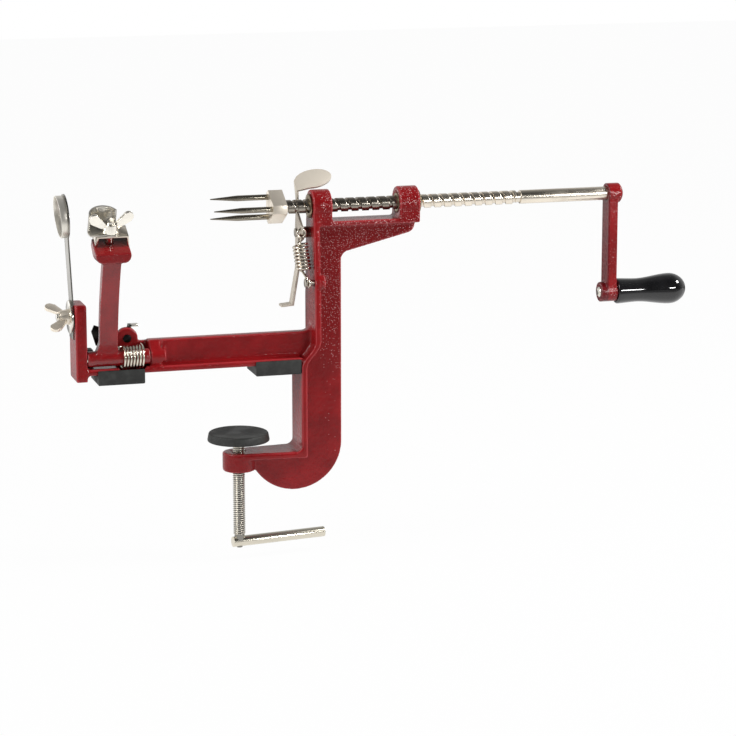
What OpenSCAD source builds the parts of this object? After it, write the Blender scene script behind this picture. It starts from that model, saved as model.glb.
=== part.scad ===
// Clamp-on apple peeler: screw-fed fork, peeling arm, slicing blade and coring ring.
// Millimetres. X runs along the feed screw to the crank, Z up, the user stands at -Y.
// The origin is the middle of the underside of the clamp-side table pad.

/* [Feed screw] */
// Height of the feed screw above the table
shaft_z = 116.5; // [108:0.5:125]
// Diameter of the feed screw
shaft_d = 9.7; // [9:0.1:10]
// Advance of the feed groove in one turn
feed_lead = 7.6; // [7:0.1:8.5]
// Depth of the feed groove
groove_depth = 1.0; // [0.8:0.1:1.3]
// Width of the feed groove at the surface
groove_width = 2.6; // [2.4:0.1:3]
// Length of the grooved part
groove_length = 170.3; // [160:1:180]
// Diameter of the neck behind the groove
neck_d = 7.4; // [6.5:0.1:8.5]
// Length of the neck
neck_length = 3.4; // [2:0.2:6]
// Length of the plain shank up to the crank
shank_length = 65.8; // [60:1:80]
// Depth of the screw ends in the fork and in the crank
end_depth = 7; // [5:0.5:8]
// Radial gap of a running fit
run_gap = 0.05; // [0.02:0.01:0.1]
// Gap of a fixed seat
seat_gap = 0.02; // [0.01:0.01:0.05]
// Gap between pieces that move past each other
move_gap = 0.3; // [0.3:0.05:0.6]

/* [Fork] */
// Position of the face that carries the prongs
fork_x = -2.8; // [-6:0.5:0]
// Thickness of the fork block
fork_block_length = 10.2; // [9:0.2:14]
// Distance of the cut corners from the axis
fork_corner = 12; // [11:0.5:14]
// Distance of the long sides from the axis
fork_side = 8.5; // [7.5:0.5:10]
// Diameter of a prong
prong_d = 4; // [3:0.2:5]
// Free length of a prong
prong_length = 41.2; // [35:1:50]
// Length of the pointed part of a prong
prong_taper = 19; // [10:1:25]
// Diameter of the prong tip
prong_tip_d = 0.7; // [0.4:0.1:1.2]
// Diameter of the circle on which the prongs stand
prong_circle_d = 16; // [14:0.5:18]

/* [Bearings] */
// Outer diameter of the bearing eyes
eye_d = 23; // [21:0.5:27]
// Length of the left bearing eye
left_eye_length = 13.8; // [12:0.2:18]
// Distance between the left faces of the eyes
eye_spacing = 62.8; // [55:1:75]
// Length of the right bearing eye
right_eye_length = 15; // [12:0.5:18]
// Wall of the turning bushes
bush_wall = 1.9; // [1.5:0.1:2.5]
// Diameter of the bush collars
bush_collar_d = 17; // [15:0.5:19]
// Thickness of the bush collars
bush_collar_t = 1; // [0.8:0.1:2]

/* [Frame casting] */
// Left face of the post
post_x = 26.4; // [24:0.2:30]
// Left face of the clamp throat
throat_x = 16.4; // [16.4:0.2:20]
// Right edge of the web
back_x = 48.2; // [44:0.2:54]
// Thickness of the web
web_t = 8; // [6:0.5:10]
// Thickness of the post flange
flange_t = 4.2; // [3.5:0.1:6]
// Width of the post flange
post_flange_w = 29.5; // [26:0.5:34]
// Width of the post flange under the bearing eye
post_top_w = 23; // [21:0.5:26]
// Height at which the post flange begins to narrow
post_taper_z = 52; // [45:1:60]
// Top of the bridge below the feed screw
bridge_drop = 10.1; // [9:0.1:11]
// Thickness of the bridge flange
bridge_t = 3.4; // [3:0.1:5]
// Width of the bridge flange
bridge_w = 21; // [18:0.5:24]
// Height of the web under the bridge at the post
bridge_root = 23.5; // [20:0.5:32]
// Rise of the web's lower edge over one millimetre
bridge_slope = 0.25; // [0.2:0.01:0.3]
// Radius where the bridge web meets the post
bridge_fillet = 6; // [5:0.5:12]
// Set-back of the web's end from the face of the right eye
bridge_inset = 2.2; // [1.5:0.1:3]
// Radius at the free end of the bridge web
bridge_end_r = 6; // [3:0.5:7]
// Top of the arm web
arm_top_z = 28.4; // [26:0.1:34]
// Underside of the arm flange
foot_z = 7; // [5:0.2:9]
// Thickness of the arm flange
foot_t = 4.4; // [3.5:0.1:6]
// Width of the arm flange
foot_w = 25; // [22:0.5:30]
// Radius where the arm meets the post
arm_fillet = 6; // [3:0.5:9]
// Top of the clamp jaw
jaw_z = -56; // [-64:0.5:-50]
// Thickness of the jaw flange
jaw_t = 4.5; // [3.5:0.1:6]
// Depth of the web below the top of the jaw
jaw_depth = 29.7; // [24:0.5:36]
// Outer radius of the clamp corner
corner_r = 34; // [28:1:36]
// Radius in the inner corner of the jaw
inner_r = 4; // [2:0.5:6]
// Axis of the clamp screw
clamp_x = -26.3; // [-32:0.5:-22]
// Diameter of the clamp boss
boss_d = 23; // [20:0.5:26]
// Height of the clamp boss
boss_h = 13.4; // [11:0.2:16]

/* [Table pads] */
// Length of each rubber table pad
pad_length = 32.8; // [26:0.2:32.8]
// Wall of the rubber table pads
pad_wall = 1.8; // [1.4:0.1:2.5]
// Height of the rubber table pads
pad_h = 10.4; // [9:0.1:11]
// Middle of the far table pad behind the blade post
far_pad_off = 31.2; // [26:0.2:38]

/* [Blade post] */
// Left face of the upright blade post
plate_x = -142.8; // [-150:0.5:-138]
// Thickness of the blade post
plate_t = 8; // [6:0.2:10]
// Width of the blade post
plate_w = 25; // [24:0.5:28]
// Top of the blade post
plate_top_z = 56.5; // [55:0.5:66]
// Foot of the blade post
plate_foot_z = 2.6; // [1:0.2:4]
// Radius of the top corners of the blade post
plate_r = 3; // [1:0.5:6]
// Height of the blade stud
stud_z = 47; // [44:0.2:48]
// Diameter of the blade stud
stud_d = 6; // [5:0.5:7]
// Diameter of the washer under the slicer wing nut
washer_d = 23; // [20:0.5:26]
// Thickness of that washer
washer_t = 1.5; // [1:0.1:2]
// Thickness of the slicing blade
blade_t = 1; // [0.8:0.1:1.5]
// Width of the slicing blade
blade_w = 13; // [12:0.5:20]
// Lower end of the slicing blade below its stud
blade_tail = 15; // [10:0.5:18]
// Width of the blade's ground edge
blade_bevel = 2.4; // [1:0.2:4]
// Outer diameter of the coring ring
ring_d = 29; // [27:0.5:32]
// Wall of the coring ring
ring_t = 1; // [0.8:0.1:1.5]
// Reach of the coring ring's top in front of the clamped blade
ring_w = 9; // [7:0.2:12]
// Lean of the coring ring's cutting edge
ring_lean = 6; // [0:0.5:8]
// Lean of the slicing blade above its washer
blade_lean = 2.8; // [0:0.1:4]
// Turn of the slicer wing nut about its stud
slicer_nut_turn = 65; // [0:1:180]

/* [Wing nuts] */
// Diameter of a wing nut's hub at its foot
nut_hub_d = 11; // [9:0.5:13]
// Height of a wing nut's hub
nut_hub_h = 6.5; // [5:0.5:9]
// Half of the distance between the wing tips
nut_reach = 15.5; // [13:0.5:19]
// Height of the wing tips
nut_wing_h = 14.5; // [11:0.5:17]
// Thickness of a wing
nut_wing_t = 2.2; // [1.6:0.1:3]
// Radius of a wing's rounded tip
nut_tip_r = 3.6; // [2.5:0.1:5]

/* [Peeling arm] */
// Distance of the arm pivot in front of the screw
pivot_y = -8; // [-9:0.2:-7]
// Height of the arm pivot
pivot_z = 18; // [17.6:0.2:20]
// Diameter of the pivot rod
pivot_d = 6; // [5:0.2:6.6]
// Outer diameter of the arm's barrel
barrel_d = 11; // [10:0.2:11.6]
// Left face of the pivot lug behind the blade post
lug_off = 52; // [48:0.5:54]
// Thickness of the pivot lug
lug_t = 8; // [6:0.5:10]
// Top of the pivot lug
lug_top_z = 28; // [26:0.5:29]
// Length of the pivot boss on the lug
pivot_boss_l = 3.2; // [2:0.2:6]
// Middle of the peeling arm behind the blade post
peel_off = 23; // [22:0.2:24]
// Width of the peeling arm
peel_w = 12.6; // [10:0.2:15]
// Thickness of the peeling arm
peel_t = 7.6; // [6:0.2:10]
// Bow radius of the peeling arm
peel_bow = 200; // [160:5:260]
// Lean of the peeling arm at half height
peel_lean = 16.2; // [13:0.2:19]
// Width of the arm's head
head_w = 24.5; // [22:0.5:30]
// Sideways shift of the head on the arm
head_off = 0.8; // [0:0.1:1.5]
// Height of the head's front face
head_h = 6.4; // [5:0.2:9]
// Foot of the arm's head
head_z = 88; // [85:0.5:93]
// Length of the head's sloping top
head_slope_l = 19; // [17.5:0.5:24]
// Tilt of the head's sloping top
head_tilt = 28; // [20:1:40]
// Distance of the stud behind the slope's front edge
stud_set = 14; // [12.5:0.2:15]
// Radius of the head's lower corners
head_r = 5; // [2:0.5:5.5]
// Thickness of the bracket and of the peeling blade's foot
sheet_t = 1.2; // [1:0.1:1.6]
// Height of the bracket's bridge over the slope
bracket_gap = 7.2; // [5:0.2:9]
// Width of the bracket's bridge
bracket_w = 21.5; // [18:0.5:22]
// Sideways shift of the bracket on the head
bracket_off = 1.2; // [0.8:0.1:1.4]
// Outward splay of each bracket leg
bracket_splay = 1; // [0.4:0.1:1.1]
// Outer radius of the peeling blade's loop
loop_r = 10.5; // [9.5:0.5:12]
// Height of the peeling blade's loop
loop_h = 14; // [10:0.5:16]
// Offset of the loop to the left of its stud
loop_offset = 5; // [3:0.5:6]

/* [Torsion spring] */
// Wire of the arm spring
arm_wire_d = 1.6; // [1.3:0.1:1.6]
// Outer diameter of the arm spring
arm_spring_d = 16.4; // [16:0.1:16.6]
// Number of curls of the arm spring
arm_curls = 7; // [5:1:7]
// Advance of one curl of the arm spring
arm_pitch = 2.15; // [2.05:0.05:2.2]

/* [Arm latch] */
// Middle of the latch ear behind the blade post
ear_off = 38.4; // [37:0.2:39.6]
// Height of the ear's rounded top above the arm flange
ear_h = 17.8; // [16:0.2:20]
// Radius of the ear
ear_r = 7.7; // [6:0.1:8.5]
// Front face of the ear
ear_y = 1.6; // [1.4:0.1:2.5]
// Thickness of the ear
ear_t = 5; // [4:0.2:6]
// Thickness of the latch plate
latch_t = 1.4; // [1:0.1:2]
// Reach of the latch from its pin
latch_reach = 24; // [23:0.5:26]
// Diameter of the latch pin
latch_pin_d = 4; // [3:0.2:5]
// Height of the rubber bumper on the arm flange
bumper_h = 11; // [8:0.5:12]
// Length of the rubber bumper
bumper_l = 7; // [5:0.5:8]

/* [Release lever] */
// Thickness of the lever sheet
lever_t = 1.5; // [1.2:0.1:2]
// Width of the lever strip
lever_w = 8; // [6:0.5:9]
// Gap between the lever and the post
lever_off = 6.2; // [5.6:0.2:8]
// Distance of the lever pivot behind the screw
lever_pivot_y = 7.5; // [6.5:0.1:8]
// Drop of the lever pivot below the screw
lever_pivot_drop = 19.5; // [18:0.5:23]
// Diameter of the lever pivot
lever_pivot_d = 4.8; // [4:0.2:5.6]
// Entry of the lever's tooth into the groove
tooth_entry = 0.6; // [0.4:0.1:0.7]
// Height of the tooth
tooth_h = 2; // [1.6:0.1:2.2]
// Thickness of the tooth
tooth_t = 1; // [0.8:0.1:1.1]
// Slope of the thumb paddle
paddle_slope = 40; // [34:1:46]
// Length of the thumb paddle
paddle_l = 28; // [24:0.5:32]
// Width of the thumb paddle
paddle_w = 16; // [14:0.5:18]
// Turn of the thumb paddle in its own plane
paddle_turn = 15; // [10:1:20]
// Height of the kink in the lever's tail
kink_z = 73; // [70:0.5:76]
// Height of the lever's foot
foot_tab_z = 45.6; // [43:0.2:50]
// Lean of the lever's tail towards the fork
tail_lean = 4.6; // [3:0.2:7]
// Length of the lever's foot
foot_tab_l = 7.4; // [5:0.2:10]

/* [Lever spring] */
// Wire of the lever spring
lever_wire_d = 1.2; // [1:0.1:1.3]
// Mean diameter of the lever spring
lever_coil_d = 8.2; // [7:0.2:8.4]
// Number of curls of the lever spring
lever_curls = 8; // [6:1:9]
// Advance of one curl of the lever spring
lever_pitch = 2.4; // [2:0.1:2.5]
// Distance of the spring peg in front of the screw
peg_y = -10.5; // [-11.5:0.1:-9.5]
// Height of the spring peg
peg_z = 64; // [62:0.5:66]
// Diameter of the spring peg
peg_d = 4; // [3.4:0.1:4.6]
// Length of the spring peg in front of the post
peg_l = 5.4; // [5:0.1:7]

/* [Crank] */
// Distance from the screw to the handle
crank_r = 72; // [65:0.5:85]
// Thickness of the crank bar
crank_t = 7.2; // [6:0.2:9]
// Width of the crank bar
crank_w = 13; // [11:0.5:13.2]
// Diameter of the crank's bosses
crank_boss_d = 14.4; // [14:0.2:17]
// Length of the crank's screw boss
crank_hub_l = 12.4; // [11:0.2:15]
// Projection of the handle boss to the left
handle_boss_l = 3.8; // [2:0.2:6]
// Diameter of the handle pin
handle_pin_d = 6; // [5:0.2:7]
// Length of the grip
grip_l = 54; // [48:0.5:62]
// Diameter of the grip at its collar
grip_end_d = 18.4; // [17.6:0.2:20]
// Diameter of the grip at its waist
grip_waist_d = 17; // [15:0.2:17.4]
// Diameter of the grip at its bulb
grip_bulb_d = 22.2; // [20:0.2:26]

/* [Clamp] */
// Diameter of the clamp screw
clamp_d = 8.8; // [8:0.2:9.6]
// Top of the rubber clamp pad below the table
clamp_gap = 42; // [40:0.5:43]
// Diameter of the rubber clamp pad at its top
cap_top_d = 42.2; // [38:0.2:43]
// Diameter of the rubber clamp pad at its foot
cap_foot_d = 43.8; // [43.2:0.2:47]
// Height of the rubber clamp pad
cap_h = 5.9; // [5:0.1:7]
// Diameter of the steel plate in the clamp pad
swivel_d = 34; // [28:0.5:36]
// Thickness of the steel plate in the clamp pad
swivel_t = 3; // [2.6:0.1:3.4]
// Diameter of the clamp screw's pivot tip
tip_d = 6; // [5:0.2:7]
// Length of the clamp screw from the pad to its cross bar
clamp_length = 73.8; // [68:0.2:80]
// Diameter of the cross bar
bar_d = 7.4; // [7:0.2:8]
// Length of the cross bar
bar_l = 70; // [60:1:80]
// Turn of the cross bar about the screw
bar_turn = 8; // [0:1:30]
// Diameter of the rivet that holds the cross bar
rivet_d = 4.4; // [3.6:0.2:5]

/* [Hidden] */
$fn = 48;
red = [0.55, 0.11, 0.13];
nickel = [0.78, 0.76, 0.70];
steel = [0.62, 0.63, 0.64];
brass = [0.74, 0.62, 0.42];
rubber = [0.12, 0.13, 0.12];
black = [0.05, 0.05, 0.06];
// Overlap that joins two solids of one casting
joint = 1;
// Feed screw
shaft_r = shaft_d / 2;
screw_x = fork_x + fork_block_length;
groove_end = screw_x + groove_length;
neck_end = groove_end + neck_length;
crank_x = neck_end + shank_length;
// Bearings
bush_r = shaft_r + run_gap + bush_wall;
eye_r = eye_d / 2;
right_eye_x = post_x + eye_spacing;
bridge_end = right_eye_x + right_eye_length;
bridge_z = shaft_z - bridge_drop;
// Frame
corner_x = back_x - corner_r;
corner_z = jaw_z - jaw_depth + corner_r;
slope_z = bridge_z - bridge_root;
slope_run = sqrt(1 + bridge_slope * bridge_slope);
foot_top = foot_z + foot_t;
step_z = foot_top + post_x - throat_x;
boss_r = boss_d / 2;
lug_r = barrel_d / 2 - 0.8;
spring_relief = arm_spring_d / 2 + 0.9;
// Blade post
plate_end = plate_x + plate_t;
far_pad_x = plate_x + far_pad_off;
peel_x = plate_x + peel_off;
head_x = peel_x + head_off;
ear_x = plate_x + ear_off;
lug_x = plate_x + lug_off;
blade_x = plate_x - blade_t;
washer_x = blade_x - washer_t;
bend_z = stud_z + washer_d / 2 + 0.6;
blade_up = (shaft_z - bend_z) / cos(blade_lean);
// Peeling arm
bow_y = pivot_y - 7 - peel_bow * cos(peel_lean);
bow_z = (pivot_z + 9 + head_z) / 2 - peel_bow * sin(peel_lean);
arm_head_y = bow_y + sqrt(pow(peel_bow, 2) - pow(head_z - bow_z, 2));
head_front = arm_head_y - peel_t / 2 - 1.5;
slope_way = [cos(head_tilt), sin(head_tilt)];
slope_down = [sin(head_tilt), -cos(head_tilt)];
slope_front = [head_front, head_z + head_h];
stud_point = slope_front + stud_set * slope_way;
stud_depth = 5.8;
bracket_front = nut_hub_d / 2;
loop_clear = 0.4;
barrel_start = plate_end + move_gap;
barrel_end = lug_x - move_gap;
// Arm spring
arm_coil_r = (arm_spring_d - arm_wire_d) / 2;
arm_spring_x = peel_x + peel_w / 2 + move_gap + 2.4;
arm_spring_end = arm_spring_x + arm_curls * arm_pitch;
// Latch
ear_z = foot_top + ear_h;
latch_y = ear_y + ear_t + move_gap;
latch_pin_x = ear_x;
// Lever
lever_x = post_x - lever_off - lever_t;
lever_mid = lever_x + lever_t / 2;
lever_pivot_z = shaft_z - lever_pivot_drop;
lever_back = shaft_r + run_gap + 1.5;
lever_waist = lever_back + 3.6;
tab_hole_r = 1.35;
tab_z = shaft_z - 15.5;
tab_y = -3.5;
paddle_y = lever_back + 4;
paddle_z = shaft_z + 12.4;
paddle_mid = [paddle_l / 2, paddle_w / 2 - 2];
paddle_low = norm([paddle_l * sin(paddle_turn), paddle_w * cos(paddle_turn)]) / 2;
// Lever spring
lever_wire_r = lever_wire_d / 2;
hook_r = peg_d / 2 + lever_wire_r + 0.2;
hook_x = post_x - peg_l + 1.8;
eye_hook_r = lever_t / 2 + lever_wire_r + 0.45;
// Crank
crank_z = shaft_z - crank_r;
hub_r = crank_boss_d / 2;
dome_h = 3;
dome_r = (hub_r * hub_r + dome_h * dome_h) / (2 * dome_h);
handle_left = crank_x - handle_boss_l;
handle_right = crank_x + crank_t + 1;
grip_x = handle_right + move_gap;
// Clamp
cap_z = -clamp_gap - cap_h;
bar_z = -clamp_gap - clamp_length - cap_h;

function ease(t) = t * t * (3 - 2 * t);
// Rods along the axes and slabs from side profiles
module x_rod(r, x0, x1, y, z) translate([x0, y, z]) rotate([0, 90, 0]) cylinder(r = r, h = x1 - x0);
module y_rod(r, y0, y1, x, z) translate([x, y0, z]) rotate([-90, 0, 0]) cylinder(r = r, h = y1 - y0);
module z_rod(r, z0, z1, x, y) translate([x, y, z0]) cylinder(r = r, h = z1 - z0);
module side_slab(y0, y1) translate([0, y1, 0]) rotate([90, 0, 0]) linear_extrude(y1 - y0) children();
module end_slab(x0, x1) translate([x0, 0, 0]) rotate([90, 0, 90]) linear_extrude(x1 - x0) children();
module span(a, b) translate(a) cube(b - a);
// Fills the corner at the origin between +X and +Y with a hollow round
module corner_fill(r) difference() {
    translate([-joint, -joint]) square(r + joint);
    translate([r, r]) circle(r);
}

// Tube swept along a path of points
function unit(v) = v / norm(v);
function along(p, i) = unit(p[min(i + 1, len(p) - 1)] - p[max(i - 1, 0)]);
function across(n, t) = unit(n - (n * t) * t);
function normals(p, n0) = [for (i = 0, n = across(n0, along(p, 0)); i < len(p);
    i = i + 1, n = across(n, along(p, min(i, len(p) - 1)))) n];
function least_gap(p, d, skip) = min([for (i = [0 : len(p) - 1 - skip])
    min([for (j = [i + skip : len(p) - 1]) norm(p[i] - p[j])])]) - d;
module tube(p, r, n0, sides = 6) {
    n = normals(p, n0);
    last = (len(p) - 1) * sides;
    rings = [for (i = [0 : len(p) - 1]) let (t = along(p, i), b = cross(t, n[i]))
        for (k = [0 : sides - 1]) p[i] + r * (cos(k * 360 / sides) * n[i] + sin(k * 360 / sides) * b)];
    walls = [for (i = [0 : len(p) - 2]) for (k = [0 : sides - 1])
        let (a = i * sides + k, b = i * sides + (k + 1) % sides)
        each [[a, a + sides, b + sides], [a, b + sides, b]]];
    near = [for (k = [1 : sides - 2]) [0, k, k + 1]];
    far = [for (k = [1 : sides - 2]) [last, last + k + 1, last + k]];
    polyhedron(rings, concat(walls, near, far), convexity = 10);
}

// Frame casting
module web_profile() {
    // Post and clamp throat
    translate([post_x, foot_z]) square([back_x - post_x, bridge_z - foot_z]);
    translate([throat_x, corner_z]) square([back_x - throat_x, step_z - corner_z - 3]);
    // Rounded clamp corner
    intersection() {
        translate([corner_x, corner_z]) circle(corner_r, $fn = 96);
        translate([clamp_x, jaw_z - jaw_depth - joint])
            square([back_x - clamp_x + joint, jaw_depth + joint]);
    }
    intersection() {
        translate([corner_x, corner_z]) circle(corner_r, $fn = 96);
        translate([throat_x, jaw_z - joint]) square([back_x - throat_x + joint, corner_z - jaw_z + joint]);
    }
    // Jaw between the corner and the boss
    translate([clamp_x, jaw_z - boss_h + 1.4]) square([corner_x - clamp_x - 20, boss_h - 1.4]);
    // Arm
    translate([lug_x, foot_z]) square([post_x - lug_x + joint, arm_top_z - foot_z]);
    translate([post_x, arm_top_z]) mirror([1, 0]) corner_fill(arm_fillet);
    bridge_profile();
}
module bridge_profile() {
    fill_z = slope_z + bridge_slope * bridge_fillet - bridge_fillet * slope_run;
    web_end = bridge_end - bridge_inset;
    end_x = web_end - bridge_end_r;
    end_z = slope_z + bridge_slope * (end_x - back_x) + bridge_end_r * slope_run;
    turn = [bridge_slope / slope_run, -1 / slope_run];
    polygon([[post_x, slope_z - 5], [back_x, slope_z - 5], [back_x, slope_z],
        [end_x, end_z] + bridge_end_r * turn, [web_end, end_z], [web_end, bridge_z],
        [post_x, bridge_z]]);
    translate([end_x, end_z]) circle(bridge_end_r);
    difference() {
        polygon([[back_x - joint, fill_z], [back_x - joint, slope_z],
            [back_x + bridge_fillet, fill_z] - bridge_fillet * turn, [back_x + bridge_fillet, fill_z]]);
        translate([back_x + bridge_fillet, fill_z]) circle(bridge_fillet);
    }
}
// Flange along the throat and the post, with the curved step at the arm
function step_point(t) = [throat_x + (post_x - throat_x) * ease(t), foot_z - 3 + (step_z + 3 - foot_z) * t];
module flange_profile() {
    polygon(concat([[throat_x, jaw_z - jaw_t], [throat_x + flange_t, jaw_z - jaw_t]],
        [for (i = [0 : 10]) step_point(i / 10) + [flange_t, 0]],
        [[post_x + flange_t, post_taper_z], [post_x, post_taper_z]],
        [for (i = [10 : -1 : 0]) step_point(i / 10)]));
    translate([throat_x, jaw_z]) mirror([1, 0]) corner_fill(inner_r);
}
module flanges() {
    side_slab(-post_flange_w / 2, post_flange_w / 2) flange_profile();
    end_slab(post_x, post_x + flange_t) polygon([[-post_flange_w / 2, post_taper_z - joint],
        [post_flange_w / 2, post_taper_z - joint], [post_flange_w / 2, post_taper_z],
        [post_top_w / 2, bridge_z - bridge_t], [post_top_w / 2, bridge_z], [-post_top_w / 2, bridge_z],
        [-post_top_w / 2, bridge_z - bridge_t], [-post_flange_w / 2, post_taper_z]]);
    span([post_x, -bridge_w / 2, bridge_z - bridge_t], [bridge_end, bridge_w / 2, bridge_z]);
    span([plate_x + joint, -foot_w / 2, foot_z], [throat_x + joint, foot_w / 2, foot_top]);
    translate([0, 0, jaw_z - jaw_t]) linear_extrude(jaw_t) polygon([[clamp_x, -boss_r + 0.4],
        [throat_x + joint, -post_flange_w / 2], [throat_x + joint, post_flange_w / 2],
        [clamp_x, boss_r - 0.4]]);
}
module eye(x, length) end_slab(x, x + length) {
    translate([0, shaft_z]) circle(eye_r);
    translate([-eye_r + 0.7, bridge_z - bridge_t]) square([2 * eye_r - 1.4, bridge_drop + bridge_t]);
}
module blade_post() end_slab(plate_x, plate_end) {
    translate([-plate_w / 2, plate_foot_z]) square([plate_w, plate_top_z - plate_foot_z - plate_r]);
    translate([-plate_w / 2 + plate_r, plate_foot_z]) square([plate_w - 2 * plate_r, plate_top_z - plate_foot_z]);
    for (side = [-1, 1]) translate([side * (plate_w / 2 - plate_r), plate_top_z - plate_r]) circle(plate_r);
}
module pivot_lug() {
    end_slab(lug_x, lug_x + lug_t) polygon([[web_t / 2, foot_top - joint], [pivot_y - lug_r * 0.6, foot_top - joint],
        [pivot_y - lug_r * 0.9, pivot_z], [pivot_y - lug_r * 0.5, pivot_z + lug_r * 0.86],
        [-web_t / 2, lug_top_z], [web_t / 2, lug_top_z]]);
    x_rod(lug_r, lug_x, lug_x + lug_t + pivot_boss_l, pivot_y, pivot_z);
    side_slab(ear_y, ear_y + ear_t) {
        translate([ear_x, ear_z]) circle(ear_r);
        translate([ear_x - ear_r + 0.3, foot_top - joint]) square([2 * ear_r - 0.6, ear_h + joint]);
        translate([ear_x, foot_top - joint]) square([lug_x + lug_t / 2 - ear_x, lug_top_z - foot_top]);
    }
}
module frame_casting() color(red) difference() {
    union() {
        side_slab(-web_t / 2, web_t / 2) web_profile();
        flanges();
        eye(post_x, left_eye_length);
        eye(right_eye_x, right_eye_length);
        z_rod(boss_r, jaw_z - boss_h, jaw_z, clamp_x, 0);
        x_rod(peg_d / 2 + 3.4, post_x + flange_t - joint, post_x + flange_t + 3.4, peg_y, peg_z);
        blade_post();
        pivot_lug();
    }
    x_rod(bush_r + run_gap, post_x - joint, bridge_end + joint, 0, shaft_z);
    z_rod(clamp_d / 2 + run_gap, jaw_z - boss_h - joint, jaw_z + joint, clamp_x, 0);
    x_rod(peg_d / 2 + seat_gap, post_x - joint, post_x + flange_t + 2, peg_y, peg_z);
    x_rod(lever_pivot_d / 2 - 0.6 + seat_gap, post_x - joint, post_x + flange_t + joint,
        lever_pivot_y, lever_pivot_z);
    x_rod(stud_d / 2 + seat_gap, plate_x - joint, plate_end + joint, 0, stud_z);
    x_rod(pivot_d / 2 + seat_gap, plate_x + 2, plate_end + joint, pivot_y, pivot_z);
    x_rod(pivot_d / 2 + seat_gap, lug_x - joint, lug_x + lug_t + pivot_boss_l - 1.2, pivot_y, pivot_z);
    x_rod(spring_relief, arm_spring_x - 1.6, arm_spring_end + 1.6, pivot_y, pivot_z);
    y_rod(latch_pin_d / 2 + seat_gap, ear_y - joint, ear_y + ear_t + joint, latch_pin_x, ear_z);
}

// Rubber boots on the arm flange
module table_pad(x) color(rubber) difference() {
    span([x - pad_length / 2, -foot_w / 2 - pad_wall, 0], [x + pad_length / 2, foot_w / 2 + pad_wall, pad_h]);
    span([x - pad_length / 2 - joint, -foot_w / 2, foot_z], [x + pad_length / 2 + joint, foot_w / 2, pad_h + joint]);
}
module clamp_side_pad() table_pad(0);
module far_pad() table_pad(far_pad_x);

// Bushes that turn with the feed screw
module bush(x, length, collar) color(brass) difference() {
    union() {
        x_rod(bush_r, x, x + length, 0, shaft_z);
        x_rod(bush_collar_d / 2, collar, collar + bush_collar_t, 0, shaft_z);
    }
    x_rod(shaft_r + run_gap, x - 5, x + length + 5, 0, shaft_z);
}
module left_bush() bush(post_x - move_gap - bush_collar_t, left_eye_length + move_gap + bush_collar_t,
    post_x - move_gap - bush_collar_t);
module right_bush() bush(right_eye_x, right_eye_length + move_gap + bush_collar_t, bridge_end + move_gap);

// Feed screw with its right-hand groove, whose phase follows the lever's tooth
module feed_groove() {
    steps = 16;
    top_r = shaft_r + 0.5;
    low_r = shaft_r - groove_depth;
    top_w = groove_width + 0.6 * 0.5;
    low_w = groove_width - 0.6 * groove_depth;
    count = floor((groove_length - 3) / feed_lead * steps);
    start = screw_x + 2.5;
    ring = [[low_r, -low_w / 2], [low_r, low_w / 2], [top_r, top_w / 2], [top_r, -top_w / 2]];
    points = [for (i = [0 : count]) let (x = start + i * feed_lead / steps, a = 360 * (x - lever_mid) / feed_lead)
        for (q = ring) [x + q[1], q[0] * cos(a), shaft_z + q[0] * sin(a)]];
    walls = [for (i = [0 : count - 1]) for (k = [0 : 3]) let (a = 4 * i + k, b = 4 * i + (k + 1) % 4)
        each [[a, a + 4, b + 4], [a, b + 4, b]]];
    last = 4 * count;
    polyhedron(points, concat(walls, [[0, 1, 2], [0, 2, 3], [last, last + 2, last + 1],
        [last, last + 3, last + 2]]), convexity = 20);
}
module feed_screw() color(nickel) difference() {
    union() {
        x_rod(shaft_r, screw_x - end_depth, groove_end, 0, shaft_z);
        x_rod(neck_d / 2, groove_end - joint, neck_end + joint, 0, shaft_z);
        x_rod(shaft_r, neck_end, crank_x + end_depth, 0, shaft_z);
    }
    feed_groove();
}

// Fork
function fork_point(k) = let (a = (fork_corner - fork_side / 2) / 0.75, b = (fork_side - fork_corner / 2) / 0.75,
    near = 180 + 120 * floor(k / 2), far = near + (k % 2 == 0 ? -60 : 60))
    a * [cos(near), sin(near)] + b * [cos(far), sin(far)];
function prong_spot(k) = prong_circle_d / 2 * [cos(180 + 120 * k), sin(180 + 120 * k)];
module fork_block() color(nickel) difference() {
    translate([0, 0, shaft_z]) end_slab(fork_x, screw_x) polygon([for (k = [0 : 5]) fork_point(k)]);
    x_rod(shaft_r + seat_gap, screw_x - end_depth - 0.2, screw_x + joint, 0, shaft_z);
    for (k = [0 : 2])
        x_rod(prong_d / 2 + seat_gap, fork_x - joint, screw_x + joint, prong_spot(k)[0], shaft_z + prong_spot(k)[1]);
}
module prong(k) color(steel) translate([0, prong_spot(k)[0], shaft_z + prong_spot(k)[1]]) {
    x_rod(prong_d / 2, fork_x - prong_length + prong_taper, screw_x, 0, 0);
    translate([fork_x - prong_length, 0, 0]) rotate([0, 90, 0])
        cylinder(r1 = prong_tip_d / 2, r2 = prong_d / 2, h = prong_taper);
}
module front_prong() prong(0);
module upper_prong() prong(2);
module lower_prong() prong(1);

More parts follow.
